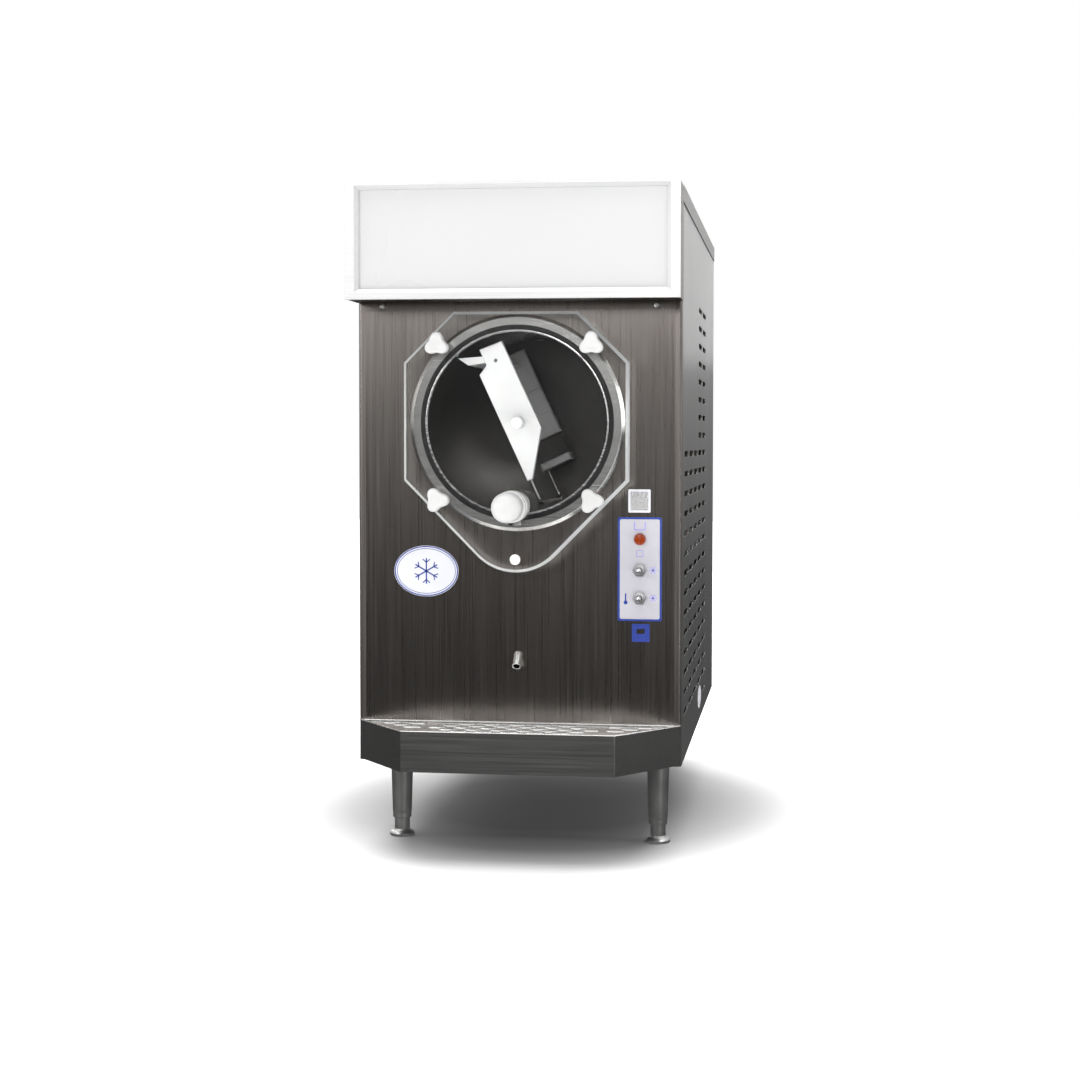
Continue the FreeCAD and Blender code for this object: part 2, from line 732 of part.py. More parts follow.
# ---- refrigeration ------------------------------------------------------------------
def compressor():
    x, y = compressor_x, compressor_y
    profile = [(0, 0), (45, 0), (68, 14), (76, 40), (76, 130), (68, 158), (42, 176), (0, 180)]
    shell = turned(profile, Vector(x, y, 146.0), Vector(0, 0, 1))
    terminal = box(x + 60, x + 88, y - 22, y + 22, 205, 255)
    plate = box(x - 82, x + 82, y - 82, y + 82, 136, 140)
    stem = cyl_z(x, y, 40, 140, 150)
    body = shell.fuse([terminal, plate, stem]).removeSplitter()
    return body.cut([cyl_z(x + sx * mount_spread, y + sy * mount_spread, 5.2, 130, 145)
                     for sx in (-1, 1) for sy in (-1, 1)])


def compressor_grommets():
    grommets = []
    for sx in (-1, 1):
        for sy in (-1, 1):
            x, y = compressor_x + sx * mount_spread, compressor_y + sy * mount_spread
            cushion = cyl_z(x, y, 9.0, body_bottom + sheet + 0.05, 135.95)
            neck = cyl_z(x, y, 5.1, 135.9, 142)
            grommets.append(cushion.fuse(neck).removeSplitter())
    return Part.makeCompound(grommets)


def condenser_coil():
    """Copper tubes through a stack of upright fins between two end plates."""
    x0, x1, z0, z1 = -condenser_half_width, condenser_half_width, 145.0, 400.0
    y0, y1 = condenser_y - 20, condenser_y + 20
    fins = [box(x, x + 0.8, y0 + 1, y1 - 1, z0 + 2, z1 - 2) for x in [x0 + 10 + 8 * n for n in range(36)]]
    plates = [box(x0, x0 + 2, y0, y1, z0, z1), box(x1 - 2, x1, y0, y1, z0, z1)]
    tubes = [cyl_x(condenser_y, z0 + 24 + 42 * n, 5.0, x0 - 4, x1 + 4) for n in range(6)]
    return tubes[0].fuse(tubes[1:] + fins + plates)


def fan_shroud():
    plate = box(-155, 155, 650, 652, 140, 408)
    collar = tube_y(0, fan_height, fan_collar_radius + 2, fan_collar_radius, 622, 652)
    shroud = plate.cut(cyl_y(0, fan_height, fan_collar_radius, 640, 660)).fuse(collar)
    feet = [box(side - 12, side + 12, 630, 652, body_bottom + sheet + 0.1, 141) for side in (-120, 120)]
    return shroud.fuse(feet).removeSplitter()


def condenser_fan():
    hub = cyl_y(0, fan_height, 24, 612, 640)
    blades = []
    for step in range(5):
        blade = box(-22, 22, 625, 627, fan_height + 18, fan_height + 98)
        blade.rotate(Vector(0, 626, fan_height), Vector(0, 0, 1), 28)
        blade.rotate(Vector(0, 0, fan_height), Vector(0, 1, 0), 72 * step)
        blades.append(blade)
    fan = hub.fuse(blades).removeSplitter()
    return fan.cut(cyl_y(0, fan_height, 4.05, 600, 632))


def fan_motor():
    can = cyl_y(0, fan_height, 36, 540, 596)
    nose = cyl_y(0, fan_height, 14, 596, 604)
    shaft = cyl_y(0, fan_height, 4.0, 604, 630)
    return can.fuse([nose, shaft]).removeSplitter()


def fan_bracket():
    """Three flat arms from the motor's band to the shroud's collar."""
    band = tube_y(0, fan_height, 39, 36.1, 556, 576)
    arms = []
    for step in range(3):
        arm = box(-9, 9, 560, 563, fan_height + 38, fan_height + 122)
        back = box(-9, 9, 560, 649.9, fan_height + 119, fan_height + 122)
        arm = arm.fuse(back)
        arm.rotate(Vector(0, 0, fan_height), Vector(0, 1, 0), 60 + 120 * step)
        arms.append(arm)
    return band.fuse(arms).removeSplitter()


def filter_drier():
    return turned([(3.5, 0), (3.5, 12), (11, 24), (11, 96), (3.5, 108), (3.5, 120), (0, 120), (0, 0)],
                  Vector(drier_x, 470, 330), Vector(0, 1, 0))


def refrigerant_lines():
    x, y = compressor_x, compressor_y
    discharge = bent_tube([(x + 30, y, 326.5), (x + 30, y, 365), (-190, y, 365), (-190, 680, 365),
                           (-190, 680, 379), (-154.2, 680, 379)], 6.0, 4.0)
    liquid = bent_tube([(154.2, 680, 169), (180, 680, 169), (180, 680, 330), (180, 640, 330),
                        (drier_x, 640, 330), (drier_x, 590.2, 330)], 10.0, 3.2)
    feed = bent_tube([(drier_x, 469.8, 330), (drier_x, 440, 330), (170, 440, 330), (170, 380, 330),
                      (170, 380, 440)], 10.0, 3.2)
    suction = bent_tube([(-170, 330, 460), (-170, 330, 300), (-170, 400, 300), (-151.2, 400, 300)], 9.0, 5.0)
    return Part.makeCompound([discharge, liquid, feed, suction])


def expansion_valve():
    body = box(158, 182, 368, 392, 440.1, 470)
    dome = cyl_z(170, 380, 13, 470, 492)
    return body.fuse(dome).removeSplitter()


def control_box():
    x0, x1, y0, y1 = -180.0, -100.0, 110.0, 200.0
    case = box(x0, x1, y0, y1, 160, 330)
    case = rounded(case, 5.0, lambda edge: edge.BoundBox.XLength < 0.01 and edge.BoundBox.ZLength < 0.01)
    foot = box(x0, x1, y0, y1, body_bottom + sheet + 0.1, 124)
    sides = [box(x0, x0 + 4, y0, y1, 123, 170), box(x1 - 4, x1, y0, y1, 123, 170)]
    return case.fuse([foot] + sides).removeSplitter()


# ---- hopper -------------------------------------------------------------------------
def hopper_pan():
    x, y0, y1 = hopper_half_width, hopper_front, hopper_rear
    outer = box(-x, x, y0, y1, hopper_floor, body_top + 1.3)
    outer = rounded(outer, hopper_corner, along_z)
    flange = box(-x - 12, x + 12, y0 - 12, y1 + 12, body_top + 0.1, body_top + 1.3)
    flange = rounded(flange, 22.0, along_z)
    inner = box(1.2 - x, x - 1.2, y0 + 1.2, y1 - 1.2, hopper_floor + 1.2, body_top + 5)
    inner = rounded(inner, hopper_corner - 1.2, along_z)
    pan = outer.fuse(flange).removeSplitter().cut(inner)
    return pan.cut(cyl_z(0, feed_y, 12.1, hopper_floor - 1, hopper_floor + 3))


def feed_tube():
    foot_z = axis_height + bore_radius + 0.5
    top_z = hopper_floor + 70
    tube = cyl_z(0, feed_y, 12.0, foot_z, top_z)
    collar = cyl_z(0, feed_y, 17.0, hopper_floor + 1.25, hopper_floor + 5)
    tube = tube.fuse(collar).removeSplitter()
    tube = tube.cut(cyl_z(0, feed_y, 8.5, foot_z - 1, top_z + 1))
    return tube.cut(cyl_y(0, hopper_floor + 14, 4.0, feed_y - 20, feed_y))


def hopper_lid():
    x, y0, y1 = hopper_half_width + 15, hopper_front - 15, hopper_rear + 15
    z0, z1 = body_top + 0.3, body_top + 0.3 + lid_height
    lid = box(-x, x, y0, y1, z0, z1)
    lid = rounded(lid, 24.0, along_z)
    lid = rounded(lid, 3.0, flat_at_z(z1))
    inner = box(1.5 - x, x - 1.5, y0 + 1.5, y1 - 1.5, z0 - 1, z1 - 1.5)
    inner = rounded(inner, 22.5, along_z)
    return lid.cut(inner)


def lid_handle():
    """Bow handle across the lid."""
    y = (hopper_front + hopper_rear) / 2
    z = body_top + 0.3 + lid_height
    bow = bent_tube([(-45, y, z + 3), (-45, y, z + 16), (45, y, z + 16), (45, y, z + 3)], 8.0, 4.0)
    pads = [cyl_z(side * 45, y, 8.0, z, z + 3) for side in (-1, 1)]
    return bow.fuse(pads).removeSplitter()


# ---- controls and labels ------------------------------------------------------------
def control_label():
    plate = box(label_x - label_half_width, label_x + label_half_width, -0.5, -0.05, label_bottom, label_top)
    plate = rounded(plate, 3.0, lambda edge: edge.BoundBox.XLength < 0.01 and edge.BoundBox.ZLength < 0.01)
    holes = [cyl_y(label_x, z, 6.4, -2, 1) for z in (lamp_height,) + toggle_heights]
    return plate.cut(holes)


def indicator_lamp():
    profile = [(0, 0), (3.4, 0.5), (6.2, 2.4), (7.6, 5.4), (8.0, 8.4), (0, 8.4)]
    dome = turned(profile, Vector(label_x, -8.95, lamp_height), Vector(0, 1, 0))
    return dome.fuse(cyl_y(label_x, lamp_height, 6.1, -0.56, 26.0)).removeSplitter()


def toggle_bodies():
    """Threaded bushes with their hexagon nuts, and the switch cases behind the panel."""
    bodies = []
    for z in toggle_heights:
        bush = cyl_y(label_x, z, 6.0, -8.5, sheet + 0.1)
        nut = hexagon_y(label_x, z, 16.0, -4.2, -0.6)
        case = box(label_x - 9, label_x + 9, sheet + 0.1, 30, z - 15, z + 15)
        terminals = [box(label_x - 4, label_x + 4, 30, 37, z + dz - 1, z + dz + 1) for dz in (-10, 0, 10)]
        body = bush.fuse([nut, case] + terminals).removeSplitter()
        pin_hole = cyl_x(toggle_pivot_y, z, toggle_pin_radius + 0.08, label_x - 5.2, label_x + 5.2)
        bodies.append(body.cut([cyl_y(label_x, z, 4.2, -12, 6), pin_hole]))
    return Part.makeCompound(bodies)


def toggle_lever(z):
    """Bat lever with a round tip, which rocks on a cross pin in the bush."""
    profile = [(0, 0), (2.1, 0.6), (3.3, 2.0), (3.7, 3.9), (3.5, 6.0), (2.0, 17.0), (2.0, 18.4), (3.3, 19.6),
               (3.8, 21.4), (3.3, 23.2), (1.8, 24.4), (1.8, 27.0), (0, 27.0)]
    lever = turned(profile, Vector(label_x, toggle_pivot_y - 21.4, z), Vector(0, 1, 0))
    pin = cyl_x(toggle_pivot_y, z, toggle_pin_radius, label_x - 5.0, label_x + 5.0)
    return lever.fuse(pin).removeSplitter()


def oval_plate(x, z, half_width, half_height, y0, y1):
    ellipse = Part.Ellipse(Vector(0, 0, 0), half_width, half_height)
    face = Part.Face(Part.Wire(ellipse.toShape()))
    plate = face.extrude(Vector(0, 0, y1 - y0))
    plate.rotate(Vector(0, 0, 0), Vector(1, 0, 0), 90)
    plate.translate(Vector(x, y1, z))
    return plate


def badge_plate():
    return oval_plate(*badge_place, *badge_half_size, -0.9, -0.05)


def front_stickers():
    upper = box(145.1, 174.5, -0.3, -0.05, 452.8, 483.2)
    lower = box(150.3, 173.5, -0.3, -0.05, 283.4, 307.0)
    return Part.makeCompound([upper, lower])


def side_sticker():
    plate = box(body_half_width + 0.05, body_half_width + 0.4, 340, 415, 139, 172)
    return rounded(plate, 16.0, lambda edge: edge.BoundBox.YLength < 0.01 and edge.BoundBox.ZLength < 0.01)


def interlock_switch():
    z = axis_height - magnet_drop
    return box(-14, 14, sheet + 0.1, 16, z - 9, z + 9)


# ---- drain, tray, legs --------------------------------------------------------------
def drain_tube():
    slope = math.radians(40)
    reach = 21.0
    tip = (0, -reach * math.cos(slope), drain_height - reach * math.sin(slope))
    return bent_tube([(0, 24, drain_height), (0, -1.5, drain_height), tip], 7.0, drain_outer, drain_outer - 1.0)


def tray_outline(inset):
    front = -tray_reach + inset
    return [(-tray_rear_half + inset, -1.2), (-tray_front_half + inset * 0.6, front),
            (tray_front_half - inset * 0.6, front), (tray_rear_half - inset, -1.2)]


def drip_tray():
    """Catch basin with a deep skirt round its front; its back is open below the basin."""
    wall = 1.4
    tray = prism_z(tray_outline(0), tray_bottom, tray_top)
    tray = rounded(tray, 3.0, lambda edge: along_z(edge) and edge.BoundBox.YMax < -50)
    basin = [(x, min(y, -1.2 - wall)) for x, y in tray_outline(wall * 1.6)]
    tray = tray.cut(prism_z(basin, tray_floor + wall, tray_top + 1))
    below = tray_outline(wall * 1.6)
    below = [below[0], below[1], below[2], below[3], (below[3][0], 5.0), (below[0][0], 5.0)]
    return tray.cut(prism_z(below, tray_bottom - 1, tray_floor))


def tray_brackets():
    arms = []
    for side in (-1, 1):
        arm = box(side * 100 - 3, side * 100 + 3, -74, -0.1, 128, tray_floor - 0.3)
        foot = box(side * 100 - 12, side * 100 + 12, -3.0, -0.1, 124, tray_floor - 0.3)
        arms.append(arm.fuse(foot).removeSplitter())
    return Part.makeCompound(arms)


def tray_grille():
    """Perforated insert that stands in the basin on four short posts."""
    outline = [(x, min(y, -4.0)) for x, y in tray_outline(4.4)]
    top = tray_top - 1.5
    plate = prism_z(outline, top - 1.2, top)
    posts = [cyl_z(sx * 110, y, 3.5, tray_floor + 1.45, top - 1.0) for sx in (-1, 1) for y in (-18, -70)]
    slots = []
    for row in range(5):
        y = -13.0 - grille_row_pitch * row
        shift = grille_slot_pitch / 2 * (row % 2)
        reach = tray_rear_half + (y + 1.2) * (tray_rear_half - tray_front_half) / tray_reach - 26
        for step in range(-6, 7):
            x = grille_slot_pitch * step + shift
            on_post = any(math.hypot(x - sx * 110, y - py) < 17 for sx in (-1, 1) for py in (-18, -70))
            if abs(x) < reach and not on_post:
                slots.append(slot_in_grille(x, y, top))
    return plate.fuse(posts).removeSplitter().cut(slots)


def slot_in_grille(x, y, top):
    middle = box(x - 8, x + 8, y - 3, y + 3, top - 3, top + 1)
    ends = [cyl_z(x + side * 8, y, 3, top - 3, top + 1) for side in (-1, 1)]
    return middle.fuse(ends)


def leg_places():
    return [(-leg_x, leg_front), (leg_x, leg_front), (-rear_leg_x, leg_rear), (rear_leg_x, leg_rear)]


def legs():
    made = []
    for x, y in leg_places():
        profile = [(0, foot_neck_top), (12.3, foot_neck_top), (12.7, foot_neck_top + 1), (12.7, 32), (13.2, 34),
                   (15.4, 112), (21.0, 114.5), (21.0, body_bottom - 0.1), (5.0, body_bottom - 0.1),
                   (5.0, 134), (0, 134)]
        leg = turned(profile, Vector(x, y, 0), Vector(0, 0, 1))
        made.append(leg.cut(cyl_z(x, y, 10.6, foot_neck_top - 1, 98)))
    return Part.makeCompound(made)


def leg_nuts():
    nuts = []
    for x, y in leg_places():
        nut = hexagon_z(x, y, 17.0, body_bottom + sheet + 0.1, body_bottom + sheet + 8)
        nuts.append(nut.cut(cyl_z(x, y, 5.1, 115, 140)))
    return Part.makeCompound(nuts)


def levelling_foot(x, y):
    profile = [(0, 0), (15.5, 0), (17.0, 1.4), (17.0, 3.6), (15.4, 5.4), (11.6, 7.2), (10.3, 9.4),
               (10.3, 70.0), (9.0, 71.5), (0, 71.5)]
    return turned(profile, Vector(x, y, 0), Vector(0, 0, 1))


# ---- rear fittings and fasteners ----------------------------------------------------
def cord_gland():
    x, z = gland_x, gland_height
    y0 = body_depth
    body = turned([(4.5, -14), (8.0, -14), (8.0, 0.05), (13.0, 0.05), (13.0, 5), (11.5, 6), (10.5, gland_reach),
                   (4.5, gland_reach)], Vector(x, y0, z), Vector(0, 1, 0))
    return body


def rating_plate():
    return box(60, 150, body_depth + 0.05, body_depth + 0.5, 760, 815)


def screw_rear(x, z):
    base = Vector(x, body_depth + 2.25, z)
    return turned([(0, 0), (2.2, 0), (3.5, 0.9), (3.9, 2.2), (0, 2.2)], base, Vector(0, -1, 0))


def panel_screws():
    screws = [screw_rear(sx * 202, z) for sx in (-1, 1) for z in (140, 350, 560, 770)]
    return Part.makeCompound(screws)


def main():
    os.makedirs("parts", exist_ok=True)
    nodes = {
        "base_pan": base_pan(),
        "chassis_frame": chassis_frame(),
        "mid_deck": together(mid_deck(), motor_bracket()),
        "front_panel": together(front_panel(), tray_brackets()),
        "left_side_panel": side_panel(-1),
        "right_side_panel": side_panel(1),
        "rear_panel": rear_panel(),
        "top_cover": top_cover(),
        "light_box_housing": light_box_housing(),
        "light_box_frame": light_box_frame(),
        "light_box_lens": light_box_lens(),
        "light_box_tubes": together(light_box_tubes(), light_box_holders()),
        "freezing_barrel": freezing_barrel(),
        "barrel_ring": barrel_ring(),
        "door_gasket": door_gasket(),
        "stud_frame": stud_frame(),
        "evaporator_coil": evaporator_coil(),
        "barrel_insulation": barrel_insulation(),
        "door_plate": together(door_plate(), door_magnet()),
        "door_knob_upper_left": knob(-stud_offset, axis_height + stud_offset, 90),
        "door_knob_upper_right": knob(stud_offset, axis_height + stud_offset, 90),
        "door_knob_lower_left": knob(-stud_offset, axis_height - stud_offset, 0),
        "door_knob_lower_right": knob(stud_offset, axis_height - stud_offset, 0),
        "spigot_plunger": spigot_plunger(),
        "spigot_rings": spigot_rings(),
        "dasher_front_arm": together(dasher_front_arm(), dasher_nose()),
        "dasher_rear_arm": together(dasher_rear_arm(), dasher_paddle()),
        "dasher_blade": dasher_blade(),
        "dasher_rods": dasher_rods(),
        "dasher_shaft": dasher_shaft(),
        "rear_bearing": together(bearing_housing(), rear_bearing(), shaft_seal()),
        "gearbox": gearbox(),
        "drive_motor": drive_motor(),
        "compressor": together(compressor(), compressor_grommets()),
        "condenser_coil": condenser_coil(),
        "fan_shroud": together(fan_shroud(), fan_bracket()),
        "condenser_fan": condenser_fan(),
        "fan_motor": fan_motor(),
        "refrigerant_lines": together(refrigerant_lines(), filter_drier(), expansion_valve()),
        "control_box": control_box(),
        "hopper_pan": hopper_pan(),
        "feed_tube": feed_tube(),
        "hopper_lid": together(hopper_lid(), lid_handle()),
        "control_label": control_label(),
        "indicator_lamp": indicator_lamp(),
        "switch_bodies": together(toggle_bodies(), interlock_switch()),
        "toggle_lever_upper": toggle_lever(toggle_heights[0]),
        "toggle_lever_lower": toggle_lever(toggle_heights[1]),
        "badge_plate": badge_plate(),
        "service_labels": together(front_stickers(), side_sticker(), rating_plate()),
        "drain_tube": drain_tube(),
        "drip_tray": drip_tray(),
        "tray_grille": tray_grille(),
        "leg_tubes": together(legs(), leg_nuts()),
        "cord_gland": cord_gland(),
        "panel_screws": together(panel_screws(), light_box_screws()),
    }
    foot_names = ("front_left", "front_right", "rear_left", "rear_right")
    for name, (x, y) in zip(foot_names, leg_places()):
        nodes["foot_" + name] = levelling_foot(x, y)
    print(len(nodes), "nodes")
    for node, shape in nodes.items():
        state = "ok" if shape.isValid() else "NOT VALID"
        print(node, state, len(shape.Solids), "solid(s)", round(shape.Volume / 1000.0, 2), "cm3")
        save(node, shape)


main()
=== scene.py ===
import math

import bmesh
import bpy
from mathutils import Matrix, Vector


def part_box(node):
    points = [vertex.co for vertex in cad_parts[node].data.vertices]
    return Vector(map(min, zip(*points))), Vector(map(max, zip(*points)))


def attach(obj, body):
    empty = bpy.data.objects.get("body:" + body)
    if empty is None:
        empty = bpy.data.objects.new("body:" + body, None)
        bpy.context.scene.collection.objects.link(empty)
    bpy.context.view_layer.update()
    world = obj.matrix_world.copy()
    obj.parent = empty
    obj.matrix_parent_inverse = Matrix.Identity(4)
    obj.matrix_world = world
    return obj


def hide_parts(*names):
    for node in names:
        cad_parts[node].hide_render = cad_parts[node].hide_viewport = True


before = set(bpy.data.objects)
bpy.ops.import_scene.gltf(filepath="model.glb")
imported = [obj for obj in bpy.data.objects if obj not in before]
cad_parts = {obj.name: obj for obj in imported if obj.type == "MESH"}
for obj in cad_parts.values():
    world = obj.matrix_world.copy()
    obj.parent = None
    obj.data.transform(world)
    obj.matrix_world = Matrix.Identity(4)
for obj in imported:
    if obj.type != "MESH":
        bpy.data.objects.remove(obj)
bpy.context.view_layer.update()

MM = 0.001

# ---- places taken from the frame -----------------------------------------------------
side_low, side_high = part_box("right_side_panel")
PANEL_Y = side_low.y
BODY_HALF = side_high.x
ring_low, ring_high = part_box("barrel_ring")
AXIS_Z = (ring_low.z + ring_high.z) / 2


# ---- material building blocks --------------------------------------------------------
class Nodes:
    """A new material with short calls for the nodes it needs."""

    def __init__(self, name):
        self.material = bpy.data.materials.new(name)
        self.material.use_nodes = True
        self.tree = self.material.node_tree
        self.shader = self.tree.nodes["Principled BSDF"]
        self.place = self.tree.nodes.new("ShaderNodeTexCoord").outputs["Object"]

    def link(self, source, target):
        self.tree.links.new(source, target)

    def fixed(self, **values):
        for name, value in values.items():
            self.shader.inputs[name.replace("_", " ")].default_value = value

    def noise(self, stretch, scale=1.0, detail=4.0, rough=0.55):
        mapping = self.tree.nodes.new("ShaderNodeMapping")
        mapping.inputs["Scale"].default_value = stretch
        self.link(self.place, mapping.inputs["Vector"])
        noise = self.tree.nodes.new("ShaderNodeTexNoise")
        noise.inputs["Scale"].default_value = scale
        noise.inputs["Detail"].default_value = detail
        noise.inputs["Roughness"].default_value = rough
        self.link(mapping.outputs["Vector"], noise.inputs["Vector"])
        return noise.outputs["Fac"]

    def ramp(self, source, low, high, start=0.3, end=0.7):
        node = self.tree.nodes.new("ShaderNodeValToRGB")
        node.color_ramp.elements[0].position = start
        node.color_ramp.elements[1].position = end
        node.color_ramp.elements[0].color = (*low, 1)
        node.color_ramp.elements[1].color = (*high, 1)
        self.link(source, node.inputs["Fac"])
        return node.outputs["Color"]

    def spread(self, source, low, high, start=0.3, end=0.7):
        node = self.tree.nodes.new("ShaderNodeMapRange")
        for name, value in (("From Min", start), ("From Max", end), ("To Min", low), ("To Max", high)):
            node.inputs[name].default_value = value
        self.link(source, node.inputs["Value"])
        return node.outputs["Result"]

    def mixed(self, first, second, share):
        node = self.tree.nodes.new("ShaderNodeMix")
        node.inputs["Factor"].default_value = share
        self.link(first, node.inputs["A"])
        self.link(second, node.inputs["B"])
        return node.outputs["Result"]

    def bump(self, source, strength, distance):
        node = self.tree.nodes.new("ShaderNodeBump")
        node.inputs["Strength"].default_value = strength
        node.inputs["Distance"].default_value = distance
        self.link(source, node.inputs["Height"])
        self.link(node.outputs["Normal"], self.shader.inputs["Normal"])

    def colour(self, source):
        self.link(source, self.shader.inputs["Base Color"])

    def roughness(self, source):
        self.link(source, self.shader.inputs["Roughness"])

    def sheet_grain(self, along):
        """Fine straight streaks, and the same streaks mixed with broad faint clouds."""
        streaks = self.noise(GRAIN_ALONG[along], 1.0, 5.0, 0.7)
        clouds = self.noise((5, 5, 2.5), 1.0, 3.0)
        return streaks, self.mixed(streaks, clouds, 0.45)


GRAIN_ALONG = {"x": (5, 420, 420), "y": (420, 5, 420), "z": (420, 420, 5)}


def brushed_steel(name, along, dark, light, rough=(0.30, 0.42), grain=0.10, stretch=0.7):
    """Stainless sheet: fine straight grain over broad faint clouds, with its gloss drawn out across it."""
    n = Nodes(name)
    n.fixed(Metallic=1.0, Anisotropic=stretch, Anisotropic_Rotation=0.25 if along == "x" else 0.0)
    tangent = n.tree.nodes.new("ShaderNodeTangent")
    tangent.direction_type = "RADIAL"
    tangent.axis = "Z"
    n.link(tangent.outputs["Tangent"], n.shader.inputs["Tangent"])
    streaks, cast = n.sheet_grain(along)
    n.colour(n.ramp(cast, dark, light, 0.36, 0.64))
    n.roughness(n.spread(streaks, *rough))
    n.bump(streaks, grain, 0.0003)
    return n.material


def side_steel(name, shaded_front_tones, side_tones):
    """Sheet folded round to the front: its front strip has the front panel's tone, painted shade darker than
    the side's own steel.
    """
    n = Nodes(name)
    n.fixed(Metallic=1.0)
    streaks, cast = n.sheet_grain("z")
    fold_start, fold_end = PANEL_Y + 1 * MM, PANEL_Y + 4 * MM
    place = n.tree.nodes.new("ShaderNodeSeparateXYZ")
    n.link(n.place, place.inputs["Vector"])
    tone = n.tree.nodes.new("ShaderNodeMixRGB")
    n.link(n.spread(place.outputs["Y"], 0.0, 1.0, fold_start, fold_end), tone.inputs["Fac"])
    n.link(n.ramp(cast, *shaded_front_tones, 0.36, 0.64), tone.inputs["Color1"])
    n.link(n.ramp(cast, *side_tones, 0.36, 0.64), tone.inputs["Color2"])
    n.colour(tone.outputs["Color"])
    n.roughness(n.spread(streaks, 0.28, 0.40))
    n.bump(streaks, 0.10, 0.0003)
    return n.material


def satin_white(name):
    """Silver-white satin finish: about a third metal, the rest paint."""
    n = Nodes(name)
    n.fixed(Metallic=0.35)
    streaks = n.noise(GRAIN_ALONG["x"], 1.0, 4.0, 0.7)
    n.colour(n.ramp(streaks, (0.66, 0.66, 0.66), (0.74, 0.74, 0.74)))
    n.roughness(n.spread(streaks, 0.30, 0.42))
    n.bump(streaks, 0.04, 0.0003)
    return n.material


def polished_steel(name, tint=(0.80, 0.80, 0.79), rough=(0.10, 0.20)):
    n = Nodes(name)
    n.fixed(Metallic=1.0)
    smears = n.noise((30, 30, 30), 1.0, 5.0)
    n.colour(n.ramp(smears, tuple(0.93 * c for c in tint), tint))
    n.roughness(n.spread(smears, *rough))
    return n.material


def plastic(name, low, high, rough=(0.32, 0.45), grain=700.0, bump=0.03, subsurface=0.0):
    """Turned or moulded plastic with faint tone changes and a fine tooled surface."""
    n = Nodes(name)
    tone = n.noise((18, 18, 18), 1.0, 3.0)
    fine = n.noise((grain, grain, grain), 1.0, 2.0)
    n.colour(n.ramp(tone, low, high))
    n.roughness(n.spread(fine, *rough))
    n.bump(fine, bump, 0.0002)
    if subsurface:
        n.fixed(Subsurface_Weight=subsurface, Subsurface_Scale=0.004)
    return n.material


def painted(name, low, high, rough=(0.30, 0.5), bump=0.15):
    n = Nodes(name)
    skin = n.noise((260, 260, 260), 1.0, 3.0)
    n.colour(n.ramp(skin, low, high))
    n.roughness(n.spread(skin, *rough))
    n.bump(skin, bump, 0.0004)
    return n.material


def clear_plastic(name):
    """Polished acrylic.

    Shadow, diffuse and glossy rays pass straight through, so that what is behind it stays lit.
    """
    n = Nodes(name)
    n.fixed(Transmission_Weight=1.0, IOR=1.49)
    wipes = n.noise((25, 25, 25), 1.0, 4.0)
    n.colour(n.ramp(wipes, (0.95, 0.97, 0.97), (0.99, 1.0, 1.0)))
    n.roughness(n.spread(wipes, 0.0, 0.03))
    light_path = n.tree.nodes.new("ShaderNodeLightPath")
    through = n.tree.nodes.new("ShaderNodeBsdfTransparent")
    mix = n.tree.nodes.new("ShaderNodeMixShader")
    passing = light_path.outputs["Is Shadow Ray"]
    for kind in ("Is Diffuse Ray", "Is Glossy Ray"):
        either = n.tree.nodes.new("ShaderNodeMath")
        either.operation = "MAXIMUM"
        n.link(passing, either.inputs[0])
        n.link(light_path.outputs[kind], either.inputs[1])
        passing = either.outputs["Value"]
    n.link(passing, mix.inputs["Fac"])
    n.link(n.shader.outputs["BSDF"], mix.inputs[1])
    n.link(through.outputs["BSDF"], mix.inputs[2])
    n.link(mix.outputs["Shader"], n.tree.nodes["Material Output"].inputs["Surface"])
    return n.material


def speckled(name):
    """Fine black and white speckle in place of a printed code."""
    n = Nodes(name)
    dots = n.noise((900, 900, 900), 1.0, 1.0)
    n.colour(n.ramp(dots, (0.12, 0.12, 0.12), (0.62, 0.62, 0.62), 0.46, 0.54))
    n.roughness(n.spread(dots, 0.4, 0.5))
    return n.material


def sawn_edge(name):
    """Machined acrylic: the tool marks scatter the light that runs inside the plate."""
    n = Nodes(name)
    n.fixed(Transmission_Weight=0.55, IOR=1.49)
    marks = n.noise((500, 500, 500), 1.0, 3.0)
    n.colour(n.ramp(marks, (0.70, 0.73, 0.73), (0.86, 0.88, 0.88)))
    n.roughness(n.spread(marks, 0.35, 0.55))
    n.bump(marks, 0.06, 0.0003)
    return n.material


def glowing(name, colour, strength, rough=(0.25, 0.35)):
    n = Nodes(name)
    haze = n.noise((4, 4, 4), 1.0, 2.0)
    n.colour(n.ramp(haze, tuple(0.97 * c for c in colour), colour))
    n.roughness(n.spread(haze, *rough))
    n.fixed(Emission_Color=(*colour, 1), Emission_Strength=strength)
    return n.material


# painted shade: the front steel's tones are darker than the same stainless on the sides and top
FRONT_STEEL_PAINTED_SHADE_TONES = ((0.275, 0.249, 0.232), (0.353, 0.325, 0.305))

